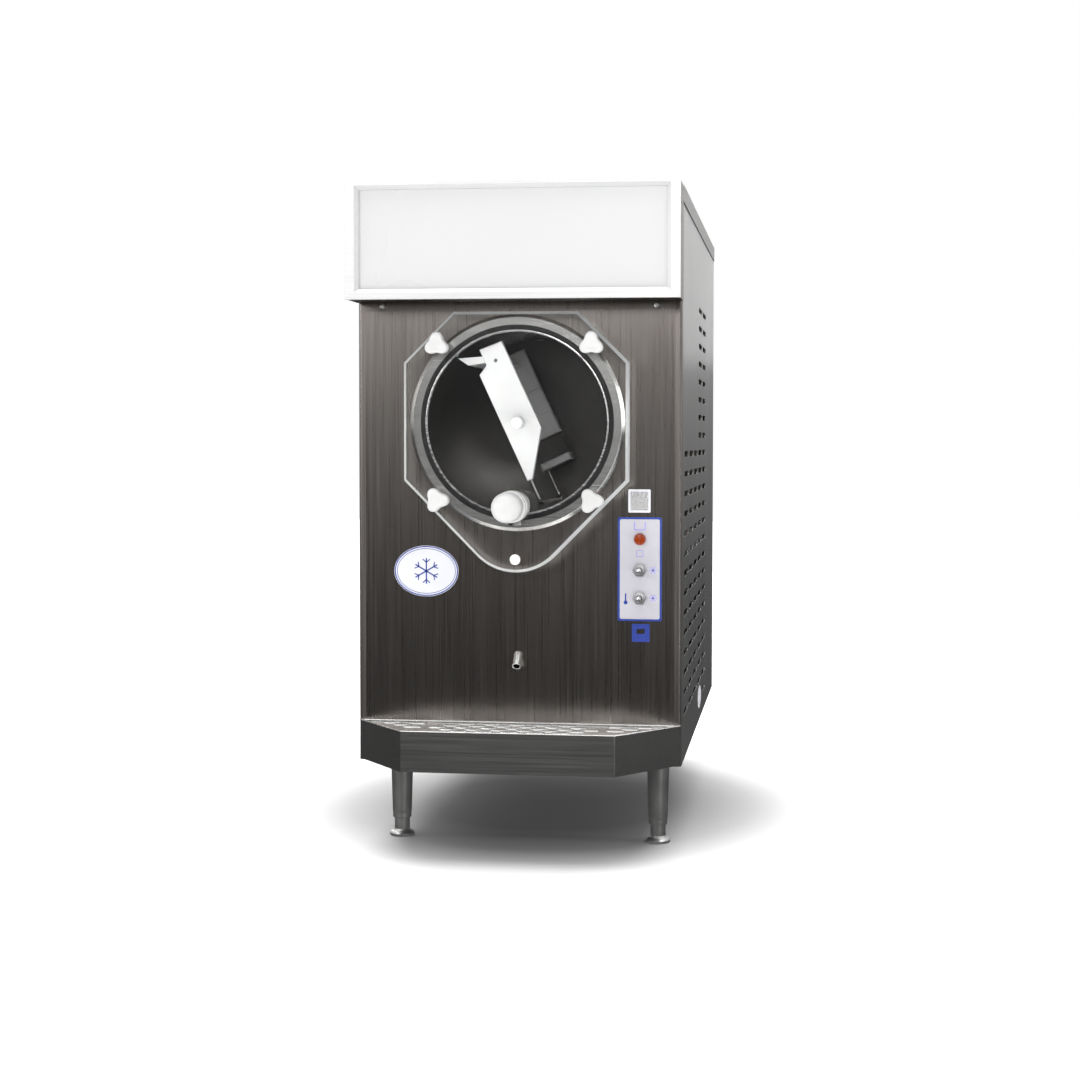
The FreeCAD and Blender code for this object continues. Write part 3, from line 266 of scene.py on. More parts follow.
M = {
    "panel": brushed_steel("panel steel", "z", *FRONT_STEEL_PAINTED_SHADE_TONES, (0.25, 0.35)),
    "side": side_steel("side steel", FRONT_STEEL_PAINTED_SHADE_TONES, ((0.46, 0.455, 0.45), (0.58, 0.575, 0.57))),
    "top": brushed_steel("cover steel", "y", (0.50, 0.50, 0.49), (0.60, 0.60, 0.59)),
    "frame": satin_white("sign frame enamel"),
    # painted shade: the tray's steel is a darker copy of the steel of its own rolled rim and insert
    "tray": brushed_steel("tray steel with painted shade", "x", (0.30, 0.295, 0.29), (0.38, 0.375, 0.37), (0.30, 0.40),
                          grain=0.08, stretch=0.0),
    "rim": brushed_steel("tray rim steel", "x", (0.70, 0.70, 0.69), (0.82, 0.82, 0.81), (0.2, 0.32)),
    "grille": brushed_steel("grille steel", "x", (0.84, 0.84, 0.83), (0.92, 0.92, 0.91), (0.22, 0.34)),
    # painted shade: the barrel's steel is much darker than the other steel, for the shade deep inside the
    # barrel; the rear paddle plate shares it
    "barrel": brushed_steel("barrel steel with painted shade", "y", (0.12, 0.115, 0.11), (0.16, 0.155, 0.15), (0.18, 0.26),
                            grain=0.02, stretch=0.0),
    "plain": brushed_steel("mill steel", "x", (0.26, 0.265, 0.27), (0.34, 0.345, 0.35), (0.38, 0.55)),
    "polished": polished_steel("polished steel"),
    "ring": brushed_steel("ring steel", "x", (0.74, 0.73, 0.71), (0.82, 0.81, 0.79), (0.16, 0.28),
                          grain=0.04, stretch=0.0),
    "leg": polished_steel("leg steel", (0.66, 0.66, 0.65), (0.32, 0.42)),
    "toggle": polished_steel("nickel plate", (0.84, 0.83, 0.85), (0.34, 0.44)),
    "white": plastic("white acetal", (0.74, 0.74, 0.735), (0.80, 0.80, 0.795), subsurface=0.08),
    "knob_white": plastic("knob white", (0.56, 0.56, 0.555), (0.63, 0.63, 0.625), (0.3, 0.4)),
    "speckle": speckled("speckled print"),
    # painted shade: the rear arm's acetal is a darker copy of the white acetal, for its place deep in the
    # barrel
    "painted_shade_acetal": plastic("acetal with painted shade", (0.62, 0.62, 0.61), (0.74, 0.74, 0.73), (0.25, 0.4)),
    "black": plastic("black moulding", (0.012, 0.012, 0.012), (0.03, 0.03, 0.03)),
    "rubber": plastic("black rubber", (0.003, 0.003, 0.003), (0.008, 0.008, 0.008), (0.6, 0.75)),
    "foam": plastic("foamed insulation", (0.66, 0.55, 0.32), (0.76, 0.66, 0.44), (0.8, 0.95), 120.0, 0.5),
    "copper": polished_steel("drawn copper", (0.78, 0.42, 0.28), (0.22, 0.38)),
    "enamel": painted("black enamel", (0.010, 0.010, 0.012), (0.022, 0.022, 0.025)),
    "motor": painted("grey hammer enamel", (0.16, 0.18, 0.20), (0.24, 0.26, 0.29)),
    "cast": painted("cast alloy", (0.42, 0.43, 0.44), (0.55, 0.56, 0.57), (0.4, 0.6), 0.3),
    "film": plastic("label film", (0.44, 0.43, 0.47), (0.50, 0.49, 0.53), (0.3, 0.4)),
    "paper": plastic("sticker film", (0.60, 0.61, 0.64), (0.68, 0.69, 0.72), (0.4, 0.5)),
    "blue": plastic("blue print", (0.012, 0.035, 0.26), (0.02, 0.055, 0.34), (0.35, 0.45)),
    "pale_blue": plastic("pale blue print", (0.26, 0.26, 0.62), (0.34, 0.34, 0.70), (0.35, 0.45)),
    "clear": clear_plastic("clear acrylic"),
    "edge": sawn_edge("machined acrylic edge"),
    "lamp": glowing("orange lens", (0.24, 0.03, 0.002), 0.02, (0.12, 0.2)),
    "diffuser": glowing("white diffuser", (0.56, 0.56, 0.565), 0.04),
    "tube": glowing("lamp tube", (1.0, 1.0, 1.0), 1.5),
}

CARRIED = {
    "panel": ["front_panel", "light_box_housing"],
    "side": ["left_side_panel", "right_side_panel", "rear_panel"],
    "top": ["top_cover", "hopper_lid", "hopper_pan"],
    "frame": ["light_box_frame"],
    "tray": ["drip_tray"],
    "grille": ["tray_grille"],
    "barrel": ["freezing_barrel"],
    "ring": ["barrel_ring"],
    "plain": ["base_pan", "chassis_frame", "mid_deck", "stud_frame", "fan_shroud", "control_box"],
    "polished": ["drain_tube", "panel_screws", "dasher_rods", "dasher_shaft"],
    "leg": ["leg_tubes", "foot_front_left", "foot_front_right", "foot_rear_left", "foot_rear_right"],
    "toggle": ["switch_bodies", "toggle_lever_upper", "toggle_lever_lower"],
    "white": ["dasher_front_arm", "dasher_blade", "feed_tube"],
    "painted_shade_acetal": ["dasher_rear_arm"],
    "black": ["cord_gland"],
    "rubber": ["door_gasket", "spigot_rings"],
    "foam": ["barrel_insulation"],
    "copper": ["evaporator_coil", "refrigerant_lines"],
    "enamel": ["compressor", "fan_motor"],
    "motor": ["drive_motor"],
    "cast": ["gearbox", "rear_bearing", "condenser_coil", "condenser_fan"],
    "lamp": ["indicator_lamp"],
    "diffuser": ["light_box_lens"],
    "tube": ["light_box_tubes"],
}


def dress(node, material):
    data_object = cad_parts[node]
    if not data_object.material_slots:
        data_object.data.materials.append(material)
    for material_slot in data_object.material_slots:
        material_slot.material = material


for key, nodes in CARRIED.items():
    for node in nodes:
        dress(node, M[key])


# ---- mesh building blocks ------------------------------------------------------------
def make_piece(name, mesh_builder, material, body, smooth=True):
    mesh = bpy.data.meshes.new(name)
    builder = bmesh.new()
    mesh_builder(builder)
    bmesh.ops.recalc_face_normals(builder, faces=builder.faces)
    builder.to_mesh(mesh)
    builder.free()
    piece = bpy.data.objects.new(name, mesh)
    bpy.context.scene.collection.objects.link(piece)
    mesh.materials.append(material)
    for polygon in mesh.polygons:
        polygon.use_smooth = smooth
    if smooth:
        mesh.set_sharp_from_angle(angle=math.radians(32))
    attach(piece, body)
    return piece


def outline_plate(builder, outline, front_y, rear_y, bevel=0.0, holes=()):
    """Plate facing -Y from an (x, z) outline, with its front edges bevelled."""
    def ring(points, y):
        return [builder.verts.new((x, y, z)) for x, z in points]

    rings = []
    if bevel:
        rings.append(ring(inset(outline, bevel), front_y))
        rings.append(ring(outline, front_y + bevel))
    else:
        rings.append(ring(outline, front_y))
    rings.append(ring(outline, rear_y))
    skin_rings(builder, rings)
    builder.faces.new(rings[0])
    builder.faces.new(rings[-1])


def inset(outline, distance):
    """The outline moved inwards by distance (outline runs anticlockwise)."""
    moved = []
    count = len(outline)
    for i in range(count):
        before = Vector(outline[i - 1])
        here = Vector(outline[i])
        after = Vector(outline[(i + 1) % count])
        into = (here - before).normalized()
        out = (after - here).normalized()
        normal_in = Vector((-into.y, into.x))
        normal_out = Vector((-out.y, out.x))
        bisector = (normal_in + normal_out).normalized()
        reach = distance / max(0.3, bisector.dot(normal_in))
        moved.append(tuple(here + bisector * reach))
    return moved


def ellipse(x, z, half_width, half_height, steps=96):
    angles = [2 * math.pi * i / steps for i in range(steps)]
    return [(x + half_width * math.cos(a), z + half_height * math.sin(a)) for a in angles]


def rounded_box(x, z, half_width, half_height, radius, steps=8):
    points = []
    corners = ((1, 1, 0), (-1, 1, 90), (-1, -1, 180), (1, -1, 270))
    for sx, sz, start in corners:
        cx = x + sx * (half_width - radius)
        cz = z + sz * (half_height - radius)
        for i in range(steps + 1):
            angle = math.radians(start + 90 * i / steps)
            points.append((cx + radius * math.cos(angle), cz + radius * math.sin(angle)))
    return points


def band(builder, outer, inner, front_y, rear_y):
    """Flat closed band between two outlines with the same number of points."""
    rings = [[builder.verts.new((x, y, z)) for x, z in points]
             for points, y in ((outer, front_y), (inner, front_y), (inner, rear_y), (outer, rear_y))]
    skin_rings(builder, rings + rings[:1])


def lathe_y(builder, profile, x, z, steps=96):
    """Turned shape about an axis along Y; profile is (radius, y) from one pole to the other."""
    rings = []
    for radius, y in profile:
        if radius < 1e-6:
            rings.append([builder.verts.new((x, y, z))])
            continue
        angles = [2 * math.pi * i / steps for i in range(steps)]
        rings.append([builder.verts.new((x + radius * math.cos(a), y, z + radius * math.sin(a)))
                      for a in angles])
    skin_rings(builder, rings)


def skin_rings(builder, rings):
    """Faces between neighbouring rings of points, where a ring of one point is a pole."""
    for first, second in zip(rings, rings[1:]):
        steps = max(len(first), len(second))
        for i in range(steps):
            j = (i + 1) % steps
            if len(first) == 1:
                builder.faces.new((first[0], second[i], second[j]))
            elif len(second) == 1:
                builder.faces.new((first[i], first[j], second[0]))
            else:
                builder.faces.new((first[i], first[j], second[j], second[i]))


# ---- stage, camera and light ---------------------------------------------------------
def stage():
    """Studio paper with a painted shadow: darker near the object and giving off more light with distance from
    it.
    """
    mesh = bpy.data.meshes.new("studio_floor")
    reach = 9.0
    corners = [(-reach, -reach, 0), (reach, -reach, 0), (reach, reach, 0), (-reach, reach, 0)]
    mesh.from_pydata(corners, [], [(0, 1, 2, 3)])
    floor = bpy.data.objects.new("studio_floor", mesh)
    bpy.context.scene.collection.objects.link(floor)
    n = Nodes("studio paper")
    mottle = n.noise((2, 2, 2), 1.0, 2.0)
    n.fixed(Roughness=0.95, Specular_IOR_Level=0.1)
    mesh.materials.append(n.material)
    painted_shadow_start, painted_shadow_end = 0.18, 0.42
    glow_start, glow_end, glow = 0.30, 0.80, 0.9
    away = n.tree.nodes.new("ShaderNodeVectorMath")
    away.operation = "LENGTH"
    n.link(n.place, away.inputs[0])
    # painted shadow: the paper is grey near the object and pale further out
    near = n.ramp(mottle, (0.36, 0.36, 0.36), (0.40, 0.40, 0.40))
    far = n.ramp(mottle, (0.90, 0.90, 0.90), (0.93, 0.93, 0.93))
    tone = n.tree.nodes.new("ShaderNodeMixRGB")
    n.link(n.spread(away.outputs["Value"], 0.0, 1.0, painted_shadow_start, painted_shadow_end), tone.inputs["Fac"])
    n.link(near, tone.inputs["Color1"])
    n.link(far, tone.inputs["Color2"])
    n.colour(tone.outputs["Color"])
    # the glow is weakest near the object, which deepens the painted shadow; further out it keeps the floor
    # evenly white
    n.fixed(Emission_Color=(1, 1, 1, 1))
    n.link(n.spread(away.outputs["Value"], 0.0, glow, glow_start, glow_end),
           n.shader.inputs["Emission Strength"])
    floor.visible_glossy = False
    return floor


def camera():
    """In front and to the right of the machine, turned a little to the left and down."""
    eye_x, eye_y, eye_z = 0.3754, PANEL_Y - 2.198, 0.5459
    yaw, pitch, roll = math.radians(6.52), math.radians(1.99), math.radians(0.13)
    forward = Vector((-math.sin(yaw) * math.cos(pitch), math.cos(yaw) * math.cos(pitch), -math.sin(pitch)))
    right = Vector((math.cos(yaw), math.sin(yaw), 0))
    up = right.cross(forward)
    right, up = (math.cos(roll) * right + math.sin(roll) * up, math.cos(roll) * up - math.sin(roll) * right)
    data = bpy.data.cameras.new("camera")
    data.lens = 56.4
    data.sensor_width = 36.0
    data.shift_x = -0.067
    data.shift_y = -0.037
    data.clip_end = 50
    holder = bpy.data.objects.new("camera", data)
    holder.matrix_world = Matrix((
        (right.x, up.x, -forward.x, eye_x),
        (right.y, up.y, -forward.y, eye_y),
        (right.z, up.z, -forward.z, eye_z),
        (0, 0, 0, 1)))
    bpy.context.scene.collection.objects.link(holder)
    bpy.context.scene.camera = holder


def area_light(name, place, target, size, power):
    data = bpy.data.lights.new(name, "AREA")
    data.shape = "RECTANGLE"
    data.size, data.size_y = size
    data.energy = power
    light = bpy.data.objects.new(name, data)
    light.location = place
    light.rotation_euler = (Vector(target) - Vector(place)).to_track_quat("-Z", "Y").to_euler()
    bpy.context.scene.collection.objects.link(light)
    return light


def lights(floor):
    """Three small lights in front that stay off the floor, one overhead, one behind and two side strips."""
    key = area_light("key", (-1.75, -2.75, 1.5), (0, 0, 0.5), (0.6, 0.6), 20)
    fill = area_light("fill", (0.3, -2.9, 1.35), (0, 0, 0.5), (0.5, 0.5), 8)
    low = area_light("low_right", (1.6, -2.2, 0.25), (0, -0.35, 0.45), (0.3, 0.3), 2.5)
    kept_dark = bpy.data.collections.new("floor_kept_dark")
    kept_dark.objects.link(floor)
    for light in (key, fill, low):
        light.light_linking.receiver_collection = kept_dark
    kept_dark.collection_objects[0].light_linking.link_state = "EXCLUDE"
    area_light("overhead", (0, 0.2, 3.4), (0, 0, 0), (4.0, 4.0), 165)
    area_light("right_strip", (2.6, -0.4, 1.0), (0.2, -0.3, 0.6), (0.35, 1.1), 4)
    rear = area_light("rear", (-0.8, 3.8, 1.9), (0, 0, 0.5), (3.0, 2.2), 75)
    rear.visible_camera = False
    area_light("left_strip", (-2.6, -0.4, 1.0), (-0.2, -0.3, 0.6), (0.35, 1.1), 3)
    bpy.context.scene.view_settings.view_transform = "Standard"
    surroundings()


def surroundings():
    """A room darkest just below the horizon and bright above, seen as plain white by the camera itself."""
    world = bpy.data.worlds.new("studio")
    bpy.context.scene.world = world
    world.use_nodes = True
    tree = world.node_tree
    place = tree.nodes.new("ShaderNodeTexCoord")
    split = tree.nodes.new("ShaderNodeSeparateXYZ")
    tree.links.new(place.outputs["Generated"], split.inputs["Vector"])
    shades = tree.nodes.new("ShaderNodeValToRGB")
    height = tree.nodes.new("ShaderNodeMapRange")
    height.inputs["From Min"].default_value = -1.0
    tree.links.new(split.outputs["Z"], height.inputs["Value"])
    tree.links.new(height.outputs["Result"], shades.inputs["Fac"])
    ramp = shades.color_ramp
    stops = ((0.20, 0.14), (0.38, 0.05), (0.46, 0.025), (0.50, 0.16),
             (0.53, 0.42), (0.58, 0.52), (0.80, 0.62))
    while len(ramp.elements) < len(stops):
        ramp.elements.new(1.0)
    for element, (position, shade) in zip(ramp.elements, stops):
        element.position = position
        element.color = (shade, shade, shade, 1)
    room = tree.nodes["Background"]
    tree.links.new(shades.outputs["Color"], room.inputs["Color"])
    white = tree.nodes.new("ShaderNodeBackground")
    white.inputs["Color"].default_value = (1, 1, 1, 1)
    mix = tree.nodes.new("ShaderNodeMixShader")
    light_path = tree.nodes.new("ShaderNodeLightPath")
    tree.links.new(light_path.outputs["Is Camera Ray"], mix.inputs["Fac"])
    tree.links.new(room.outputs["Background"], mix.inputs[1])
    tree.links.new(white.outputs["Background"], mix.inputs[2])
    tree.links.new(mix.outputs["Shader"], tree.nodes["World Output"].inputs["Surface"])


# ---- door, knobs and draw knob -------------------------------------------------------
def chin_outline(half_width, top, top_flat, upper, lower, radius, drop, steps=24):
    """Octagonal top, straight sides, slants that run tangent into a round chin."""
    centre_z = radius - drop
    dx, dz = -half_width, centre_z - lower
    gap = math.hypot(dx, dz)
    way = math.atan2(dz, dx) + math.asin(radius / gap)
    run = math.sqrt(gap ** 2 - radius ** 2)
    tangent_x, tangent_z = half_width + run * math.cos(way), lower + run * math.sin(way)
    end = math.atan2(tangent_z - centre_z, tangent_x)
    arc = []
    for i in range(steps + 1):
        angle = -math.pi - end + (math.pi + 2 * end) * i / steps
        arc.append((radius * math.cos(angle), centre_z + radius * math.sin(angle)))
    points = arc + [(half_width, lower), (half_width, upper), (top_flat, top),
                    (-top_flat, top), (-half_width, upper), (-half_width, lower)]
    return [(x, AXIS_Z + z) for x, z in points]


def door():
    low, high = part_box("door_plate")
    half_width = high.x
    top = high.z - AXIS_Z
    drop = AXIS_Z - low.z
    rear = high.y
    thickness, bevel = 19 * MM, 3.8 * MM
    front = rear - thickness
    outline = chin_outline(half_width, top, top_flat=82 * MM, upper=78 * MM, lower=-76 * MM,
                           radius=72 * MM, drop=drop)
    plate = make_piece("door_clear_plate", lambda b: outline_plate(b, outline, front, rear, bevel),
                       M["clear"], "door")
    plate.data.materials.append(M["edge"])
    for polygon in plate.data.polygons:
        if abs(polygon.normal.y) < 0.95:
            polygon.material_index = 1
    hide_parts("door_plate")
    knob_low, knob_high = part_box("spigot_plunger")
    x, z = (knob_low.x + knob_high.x) / 2, (knob_low.z + knob_high.z) / 2

    def boss(b):
        outer, inner, end = 20 * MM, 15.2 * MM, front - 15.5 * MM
        seat = front - 0.2 * MM
        lathe_y(b, [(inner, seat), (outer, seat), (outer, end), (inner, end), (inner, seat)], x, z)

    make_piece("spigot_clear_sleeve", boss, M["clear"], "door")

    def spout(b):
        steps = 48
        y = front - 6.5 * MM
        levels = [(9.0, -17.0), (9.0, -24.0), (8.4, -25.0), (6.4, -25.0), (6.0, -24.4), (6.0, -17.0)]
        rings = []
        for radius, drop_z in levels:
            ring = []
            for i in range(steps):
                angle = 2 * math.pi * i / steps
                ring.append(b.verts.new((x + radius * MM * math.cos(angle), y + radius * MM * math.sin(angle),
                                         z + drop_z * MM)))
            rings.append(ring)
        skin_rings(b, rings + rings[:1])

    make_piece("spigot_clear_spout", spout, M["clear"], "door")

    def disc(b):
        face, seat = front - 0.5 * MM, front + 0.1 * MM
        radius, below_axis = 7 * MM, 178.5 * MM
        lathe_y(b, [(0, face), (6.2 * MM, face), (radius, face + 0.6 * MM), (radius, seat), (0, seat)],
                0, AXIS_Z - below_axis)

    make_piece("door_magnet_disc", disc, M["white"], "door")


def knobs():
    """Rounded three-lobed heads: a circle swollen towards each lobe, with a dished crown."""
    for name, first_lobe in (("upper_left", 90), ("upper_right", 90), ("lower_left", 0), ("lower_right", 0)):
        low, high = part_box("door_knob_" + name)
        lobe_reach = 16.6 * MM
        x = (low.x + high.x) / 2
        z = high.z - lobe_reach
        if first_lobe == 0:
            x, z = high.x - lobe_reach, (low.z + high.z) / 2
        head = lobed_head(x, z, low.y, high.y, lobe_reach, math.radians(first_lobe))
        piece = make_piece("knob_head_" + name, head, M["knob_white"], "knob_" + name)
        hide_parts("door_knob_" + name)


def lobed_head(x, z, front, rear, lobe_reach, first_lobe, steps=96):
    """Head whose layers are (share of the full radius, share of the way from front to rear)."""
    layers = [(0.0, 0.035), (0.42, 0.035), (0.50, 0.02), (0.56, 0.0), (0.74, 0.0), (0.87, 0.03), (0.95, 0.09),
              (0.99, 0.18), (1.0, 0.30), (1.0, 0.56), (0.97, 0.64), (0.88, 0.69), (0.62, 0.71), (0.47, 0.74),
              (0.45, 0.78), (0.45, 1.0), (0.0, 1.0)]

    def lobed_radius(share, angle):
        swell = 0.5 + 0.5 * math.cos(3 * (angle - first_lobe))
        lobed = 0.655 + 0.345 * swell ** 0.9
        blend = min(1.0, max(0.0, (share - 0.45) / 0.4))
        return lobe_reach * share * (lobed * blend + 0.88 * (1 - blend))

    def head(b):
        rings = []
        for share, along in layers:
            y = front + (rear - front) * along
            if share == 0.0:
                rings.append([b.verts.new((x, y, z))])
                continue
            angles = [2 * math.pi * i / steps for i in range(steps)]
            rings.append([b.verts.new((x + lobed_radius(share, a) * math.cos(a), y,
                                       z + lobed_radius(share, a) * math.sin(a))) for a in angles])
        skin_rings(b, rings)

    return head


def draw_knob():
    """Domed knob with two raised bands near its rear, and the piston behind it."""
    low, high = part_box("spigot_plunger")
    x, z = (low.x + high.x) / 2, (low.z + high.z) / 2
    full = (high.z - low.z) / 2
    front = low.y
    length = 67.5 * MM
    dome, barrel = 0.27, 0.935
    profile = [(0, 0)]
    for step in range(1, 15):
        angle = math.radians(90 * step / 14)
        profile.append((barrel * math.sin(angle), dome * (1 - math.cos(angle))))
    profile += [(barrel, 0.54), (0.905, 0.555), (0.905, 0.60), (0.93, 0.61), (0.99, 0.62), (0.99, 0.71),
                (0.93, 0.72), (0.905, 0.73), (0.905, 0.79), (0.94, 0.80), (1.0, 0.81), (1.0, 0.965),
                (0.93, 1.0)]
    placed = [(radius * full, front + along * length) for radius, along in profile]
    piston = 15 * MM
    placed += [(piston, front + length), (piston, high.y - 1 * MM), (piston - 1 * MM, high.y), (0, high.y)]
    piece = make_piece("draw_knob", lambda b: lathe_y(b, placed, x, z), M["knob_white"], "spigot")
    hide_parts("spigot_plunger")


# ---- dasher, seal and tray -----------------------------------------------------------
def arm_outline(corners):
    """Corners given along the tilted arm (down is +) and across it (right is +), in mm.

    They come back in the opposite order, the way round that inset() needs.
    """
    tilt = math.radians(24.8)
    return [((along * math.sin(tilt) + across * math.cos(tilt)) * MM,
             AXIS_Z + (across * math.sin(tilt) - along * math.cos(tilt)) * MM)
            for along, across in reversed(corners)]


def rear_arm():
    """Arm in a darker copy of the white acetal, as painted shade, with two cross ribs, the thin plate behind
    it, and the pale cross blade at its foot.
    """
    low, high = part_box("dasher_rear_arm")
    plate_front = high.y - 8 * MM
    front = plate_front - 12 * MM
    blade_front = plate_front - 42 * MM
    left, right = -21.7, 23
    arm = arm_outline([(-107, -8), (-107, right), (21, right), (21, left), (-76, left), (-84, -8)])
    piece = make_piece("rear_arm_plate", lambda b: outline_plate(b, arm, front, plate_front, 1.5 * MM),
                       M["painted_shade_acetal"], "dasher")
    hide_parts("dasher_rear_arm")

    def ribs(b):
        for along in (-48, -12):
            rib = arm_outline([(along, -20), (along, 21.5), (along + 5, 21.5), (along + 5, -20)])
            outline_plate(b, rib, front - 1.2 * MM, front + 0.2 * MM, 0.5 * MM)

    make_piece("rear_arm_ribs", ribs, M["painted_shade_acetal"], "dasher")
    foot = 64
    plate = arm_outline([(-22, left), (-22, right), (foot, right), (foot, left)])
    make_piece("rear_paddle_plate", lambda b: outline_plate(b, plate, plate_front, high.y, 1.0 * MM),
               M["barrel"], "dasher")
    blade = arm_outline([(53.5, left), (53.5, right), (foot, right), (foot, left)])
    make_piece("rear_paddle_blade", lambda b: outline_plate(b, blade, blade_front, plate_front, 1.2 * MM),
               M["white"], "dasher")


def seal_lip():
    """Broad flat face of the door seal over the barrel's edge, and the bright lip inside it."""
    ring_front = ring_low.y

    def band_of(section):
        placed = [(radius * MM, ring_front + along * MM) for radius, along in section + section[:1]]
        return lambda b: lathe_y(b, placed, 0, AXIS_Z)

    seal = band_of([(121.4, -0.1), (121.4, -0.5), (122.5, -0.8), (127.0, -0.8), (127.8, -0.4),
                    (127.8, -0.05)])
    piece = make_piece("door_seal", seal, M["rubber"], "cabinet")
    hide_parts("door_gasket")
    lip = band_of([(118.7, -0.05), (119.0, -0.5), (120.4, -0.6), (121.2, -0.4), (121.2, -0.05)])
    make_piece("barrel_lip", lip, M["rim"], "cabinet")


def bead(builder, corners, z, radius, steps=12):
    """Round bead along a closed mitred outline of (x, y) corners at height z."""
    rings = []
    count = len(corners)
    for i in range(count):
        before, here, after = (Vector(corners[(i + k) % count]) for k in (-1, 0, 1))
        into, out = (here - before).normalized(), (after - here).normalized()
        normal = Vector((-into.y, into.x))
        bisector = (normal + Vector((-out.y, out.x))).normalized()
        across = bisector * (radius / max(0.4, bisector.dot(normal)))
        ring = []
        for step in range(steps):
            angle = 2 * math.pi * step / steps
            place = here + across * math.cos(angle)
            ring.append(builder.verts.new((place.x, place.y, z + radius * math.sin(angle))))
        rings.append(ring)
    skin_rings(builder, rings + rings[:1])


def tray_details():
    """Rolled rim round the tray's top edge, and a raised lip round each slot of its insert."""
    low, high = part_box("drip_tray")
    front_half = 137.2 * MM
    pen = 1.3 * MM
    corners = [(low.x + pen, high.y - pen), (-front_half, low.y + pen), (front_half, low.y + pen),
               (high.x - pen, high.y - pen)]
    make_piece("tray_rim", lambda b: bead(b, corners, high.z - 0.3 * MM, pen), M["rim"], "drip_tray")
    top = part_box("tray_grille")[1].z
    first_row, row_pitch, slot_pitch = 11.8, 14, 33.3
    side_slope, end_margin = 0.84, 26
    post_x, post_places, clearance = 110, (18, 70), 17

    def lips(b):
        for row in range(5):
            y = high.y - (first_row + row_pitch * row) * MM
            reach = high.x - (first_row + row_pitch * row) * MM * side_slope - end_margin * MM
            for step in range(-6, 7):
                x = (slot_pitch * step + slot_pitch / 2 * (row % 2)) * MM
                on_post = any(math.hypot(x - side * post_x * MM, y - PANEL_Y + back * MM) < clearance * MM
                              for side in (-1, 1) for back in post_places)
                if abs(x) < reach and not on_post:
                    slot_lip(b, x, y, top)

    make_piece("grille_slot_lips", lips, M["rim"], "tray_grille")


def slot_lip(b, x, y, z, steps=8):
    """Raised lip round a round-ended slot 22 x 6 mm."""
    def outline(radius):
        ring = []
        for side in (1, -1):
            for i in range(steps + 1):
                angle = math.radians(-90 + 180 * i / steps) + (0 if side > 0 else math.pi)
                ring.append((x + side * 8 * MM + radius * math.cos(angle), y + radius * math.sin(angle)))
        return ring

    levels = ((4.6, 0.0), (4.1, 1.0), (3.2, 1.0), (3.1, -1.2))
    rings = [[b.verts.new((px, py, z + rise * MM)) for px, py in outline(radius * MM)]
             for radius, rise in levels]
    skin_rings(b, rings)


# ---- labels --------------------------------------------------------------------------
def labels():
    low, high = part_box("control_label")
    x, z = (low.x + high.x) / 2, (low.z + high.z) / 2
    half_w, half_h = (high.x - low.x) / 2, (high.z - low.z) / 2
    front = low.y
    dress("control_label", M["film"])
    print_y = front - 0.06 * MM
    border = 2.6 * MM
    outer = rounded_box(x, z, half_w, half_h, 3 * MM)
    inner = rounded_box(x, z, half_w - border, half_h - border, 2.5 * MM)
    make_piece("label_border", lambda b: band(b, outer, inner, print_y, front), M["blue"], "cabinet",
               False)

    def symbols(b):
        top_z = high.z - 13 * MM
        pen = 0.8 * MM
        strokes = ((x - 7 * MM, top_z + 2 * MM, pen, 5 * MM), (x + 7 * MM, top_z + 2 * MM, pen, 5 * MM),
                   (x, top_z - 3.4 * MM, 7.6 * MM, pen))
        for cx, cz, w, h in strokes:
            outline_plate(b, rounded_box(cx, cz, w, h, 0.6 * MM, 3), print_y, front)
        band(b, rounded_box(x, z + 20.5 * MM, 4.6 * MM, 4.6 * MM, 0.8 * MM),
             rounded_box(x, z + 20.5 * MM, 3.7 * MM, 3.7 * MM, 0.5 * MM), print_y, front)
        for name in ("upper", "lower"):
            lever_low, lever_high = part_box("toggle_lever_" + name)
            lever_z = (lever_low.z + lever_high.z) / 2
            for step in range(3):
                angle = math.radians(60 * step)
                spoke(b, x + 17.5 * MM, lever_z, 5.2 * MM, 0.7 * MM, angle, print_y, front)

    make_piece("label_symbols", symbols, M["pale_blue"], "cabinet", False)

    def thermometer(b):
        lever_low, lever_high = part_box("toggle_lever_lower")
        base = (lever_low.z + lever_high.z) / 2 - 6 * MM
        bulb_x = x - 18.5 * MM
        outline_plate(b, ellipse(bulb_x, base, 2.6 * MM, 2.6 * MM, 32), print_y, front)
        outline_plate(b, rounded_box(bulb_x, base + 7 * MM, 0.9 * MM, 5 * MM, 0.8 * MM, 4), print_y, front)

    make_piece("label_thermometer", thermometer, M["blue"], "cabinet", False)


def spoke(b, x, z, reach, half_pen, angle, front_y, rear_y):
    along = Vector((math.cos(angle), math.sin(angle))) * reach
    across = Vector((-math.sin(angle), math.cos(angle))) * half_pen
    centre = Vector((x, z))
    corners = [centre + along - across, centre + along + across,
               centre - along + across, centre - along - across]
    outline_plate(b, [tuple(c) for c in corners], front_y, rear_y)


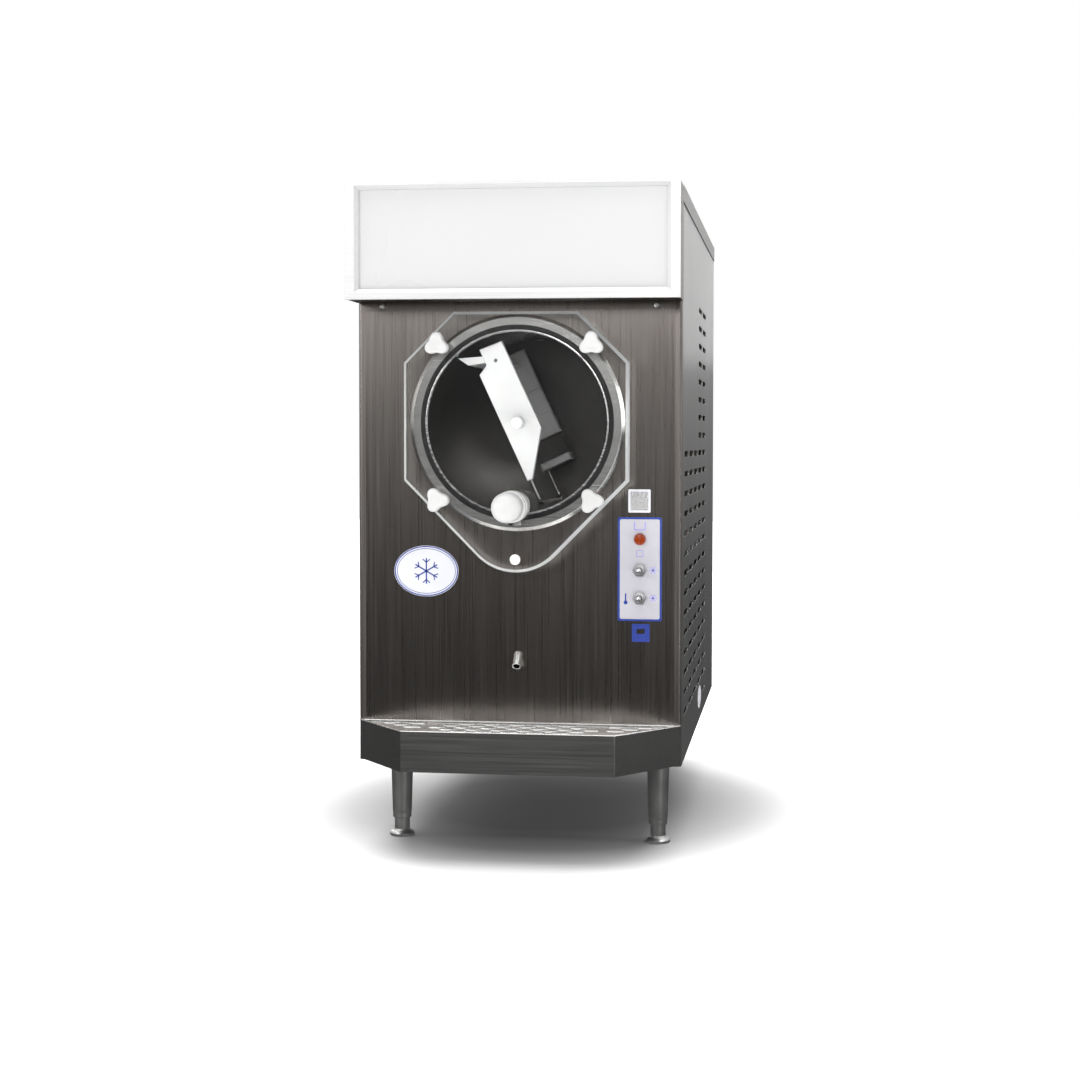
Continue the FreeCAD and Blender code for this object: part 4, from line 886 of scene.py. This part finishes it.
def badge():
    """White oval with a double blue outline and a six-spoked frost star, no lettering."""
    low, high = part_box("badge_plate")
    x, z = (low.x + high.x) / 2, (low.z + high.z) / 2
    a, c = (high.x - low.x) / 2, (high.z - low.z) / 2
    dress("badge_plate", M["paper"])
    print_y = low.y - 0.06 * MM

    def lines(b):
        for outer, inner in ((0.5, 2.0), (3.6, 4.4)):
            band(b, ellipse(x, z, a - outer * MM, c - outer * MM),
                 ellipse(x, z, a - inner * MM, c - inner * MM), print_y, low.y)
        for step in range(3):
            spoke(b, x, z, 17 * MM, 0.9 * MM, math.radians(60 * step + 30), print_y, low.y)
        for step in range(6):
            angle = math.radians(60 * step + 30)
            tip = Vector((x, z)) + Vector((math.cos(angle), math.sin(angle))) * 11.5 * MM
            for lean in (-1, 1):
                turned = angle + lean * math.radians(50)
                end = tip + Vector((math.cos(turned), math.sin(turned))) * 3.2 * MM
                spoke(b, end.x, end.y, 3.2 * MM, 0.7 * MM, turned, print_y, low.y)

    make_piece("badge_lines", lines, M["blue"], "cabinet", False)


def service_labels():
    """Blank stickers in place of printed ones: two on the front, one on the side, one at the rear."""
    front_y = PANEL_Y - 0.3 * MM
    back_y = PANEL_Y - 0.05 * MM
    label_low, label_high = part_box("control_label")
    x = (label_low.x + label_high.x) / 2
    square_x, square_z = 159.8 * MM, label_high.z + 21.3 * MM
    tag_x = x + 1.4 * MM
    print_y = front_y - 0.06 * MM
    square = rounded_box(square_x, square_z, 14.7 * MM, 15.2 * MM, 1.5 * MM)
    sticker = make_piece("sticker_square", lambda b: outline_plate(b, square, front_y, back_y),
                         M["paper"], "cabinet", False)
    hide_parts("service_labels")
    field = rounded_box(square_x, square_z, 11.6 * MM, 12.1 * MM, 0.8 * MM)
    make_piece("sticker_square_field", lambda b: outline_plate(b, field, print_y, front_y),
               M["speckle"], "cabinet", False)
    tag = rounded_box(tag_x, label_low.z - 15.5 * MM, 11.6 * MM, 11.8 * MM, 1.2 * MM)
    make_piece("sticker_blue_tag", lambda b: outline_plate(b, tag, front_y, back_y),
               M["blue"], "cabinet", False)
    window = rounded_box(tag_x, label_low.z - 13.5 * MM, 5.4 * MM, 3.2 * MM, 0.8 * MM)
    make_piece("sticker_tag_window", lambda b: outline_plate(b, window, print_y, front_y),
               M["panel"], "cabinet", False)

    def side_oval(b):
        y0, z0 = PANEL_Y + 377.5 * MM, 155.5 * MM
        points = ellipse(y0, z0, 37 * MM, 16.5 * MM, 64)
        inner = [b.verts.new((BODY_HALF + 0.05 * MM, y, z)) for y, z in points]
        outer = [b.verts.new((BODY_HALF + 0.4 * MM, y, z)) for y, z in points]
        skin_rings(b, [inner, outer])
        b.faces.new(inner)
        b.faces.new(outer)

    make_piece("sticker_side_oval", side_oval, M["paper"], "cabinet", False)
    rear_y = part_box("rear_panel")[1].y
    plate = rounded_box(105 * MM, 787.5 * MM, 45 * MM, 27.5 * MM, 3 * MM)
    make_piece("rating_plate_blank",
               lambda b: outline_plate(b, plate, rear_y + 0.05 * MM, rear_y + 0.5 * MM),
               M["plain"], "cabinet", False)


camera()
lights(stage())
door()
knobs()
draw_knob()
rear_arm()
seal_lip()
tray_details()
labels()
badge()
service_labels()
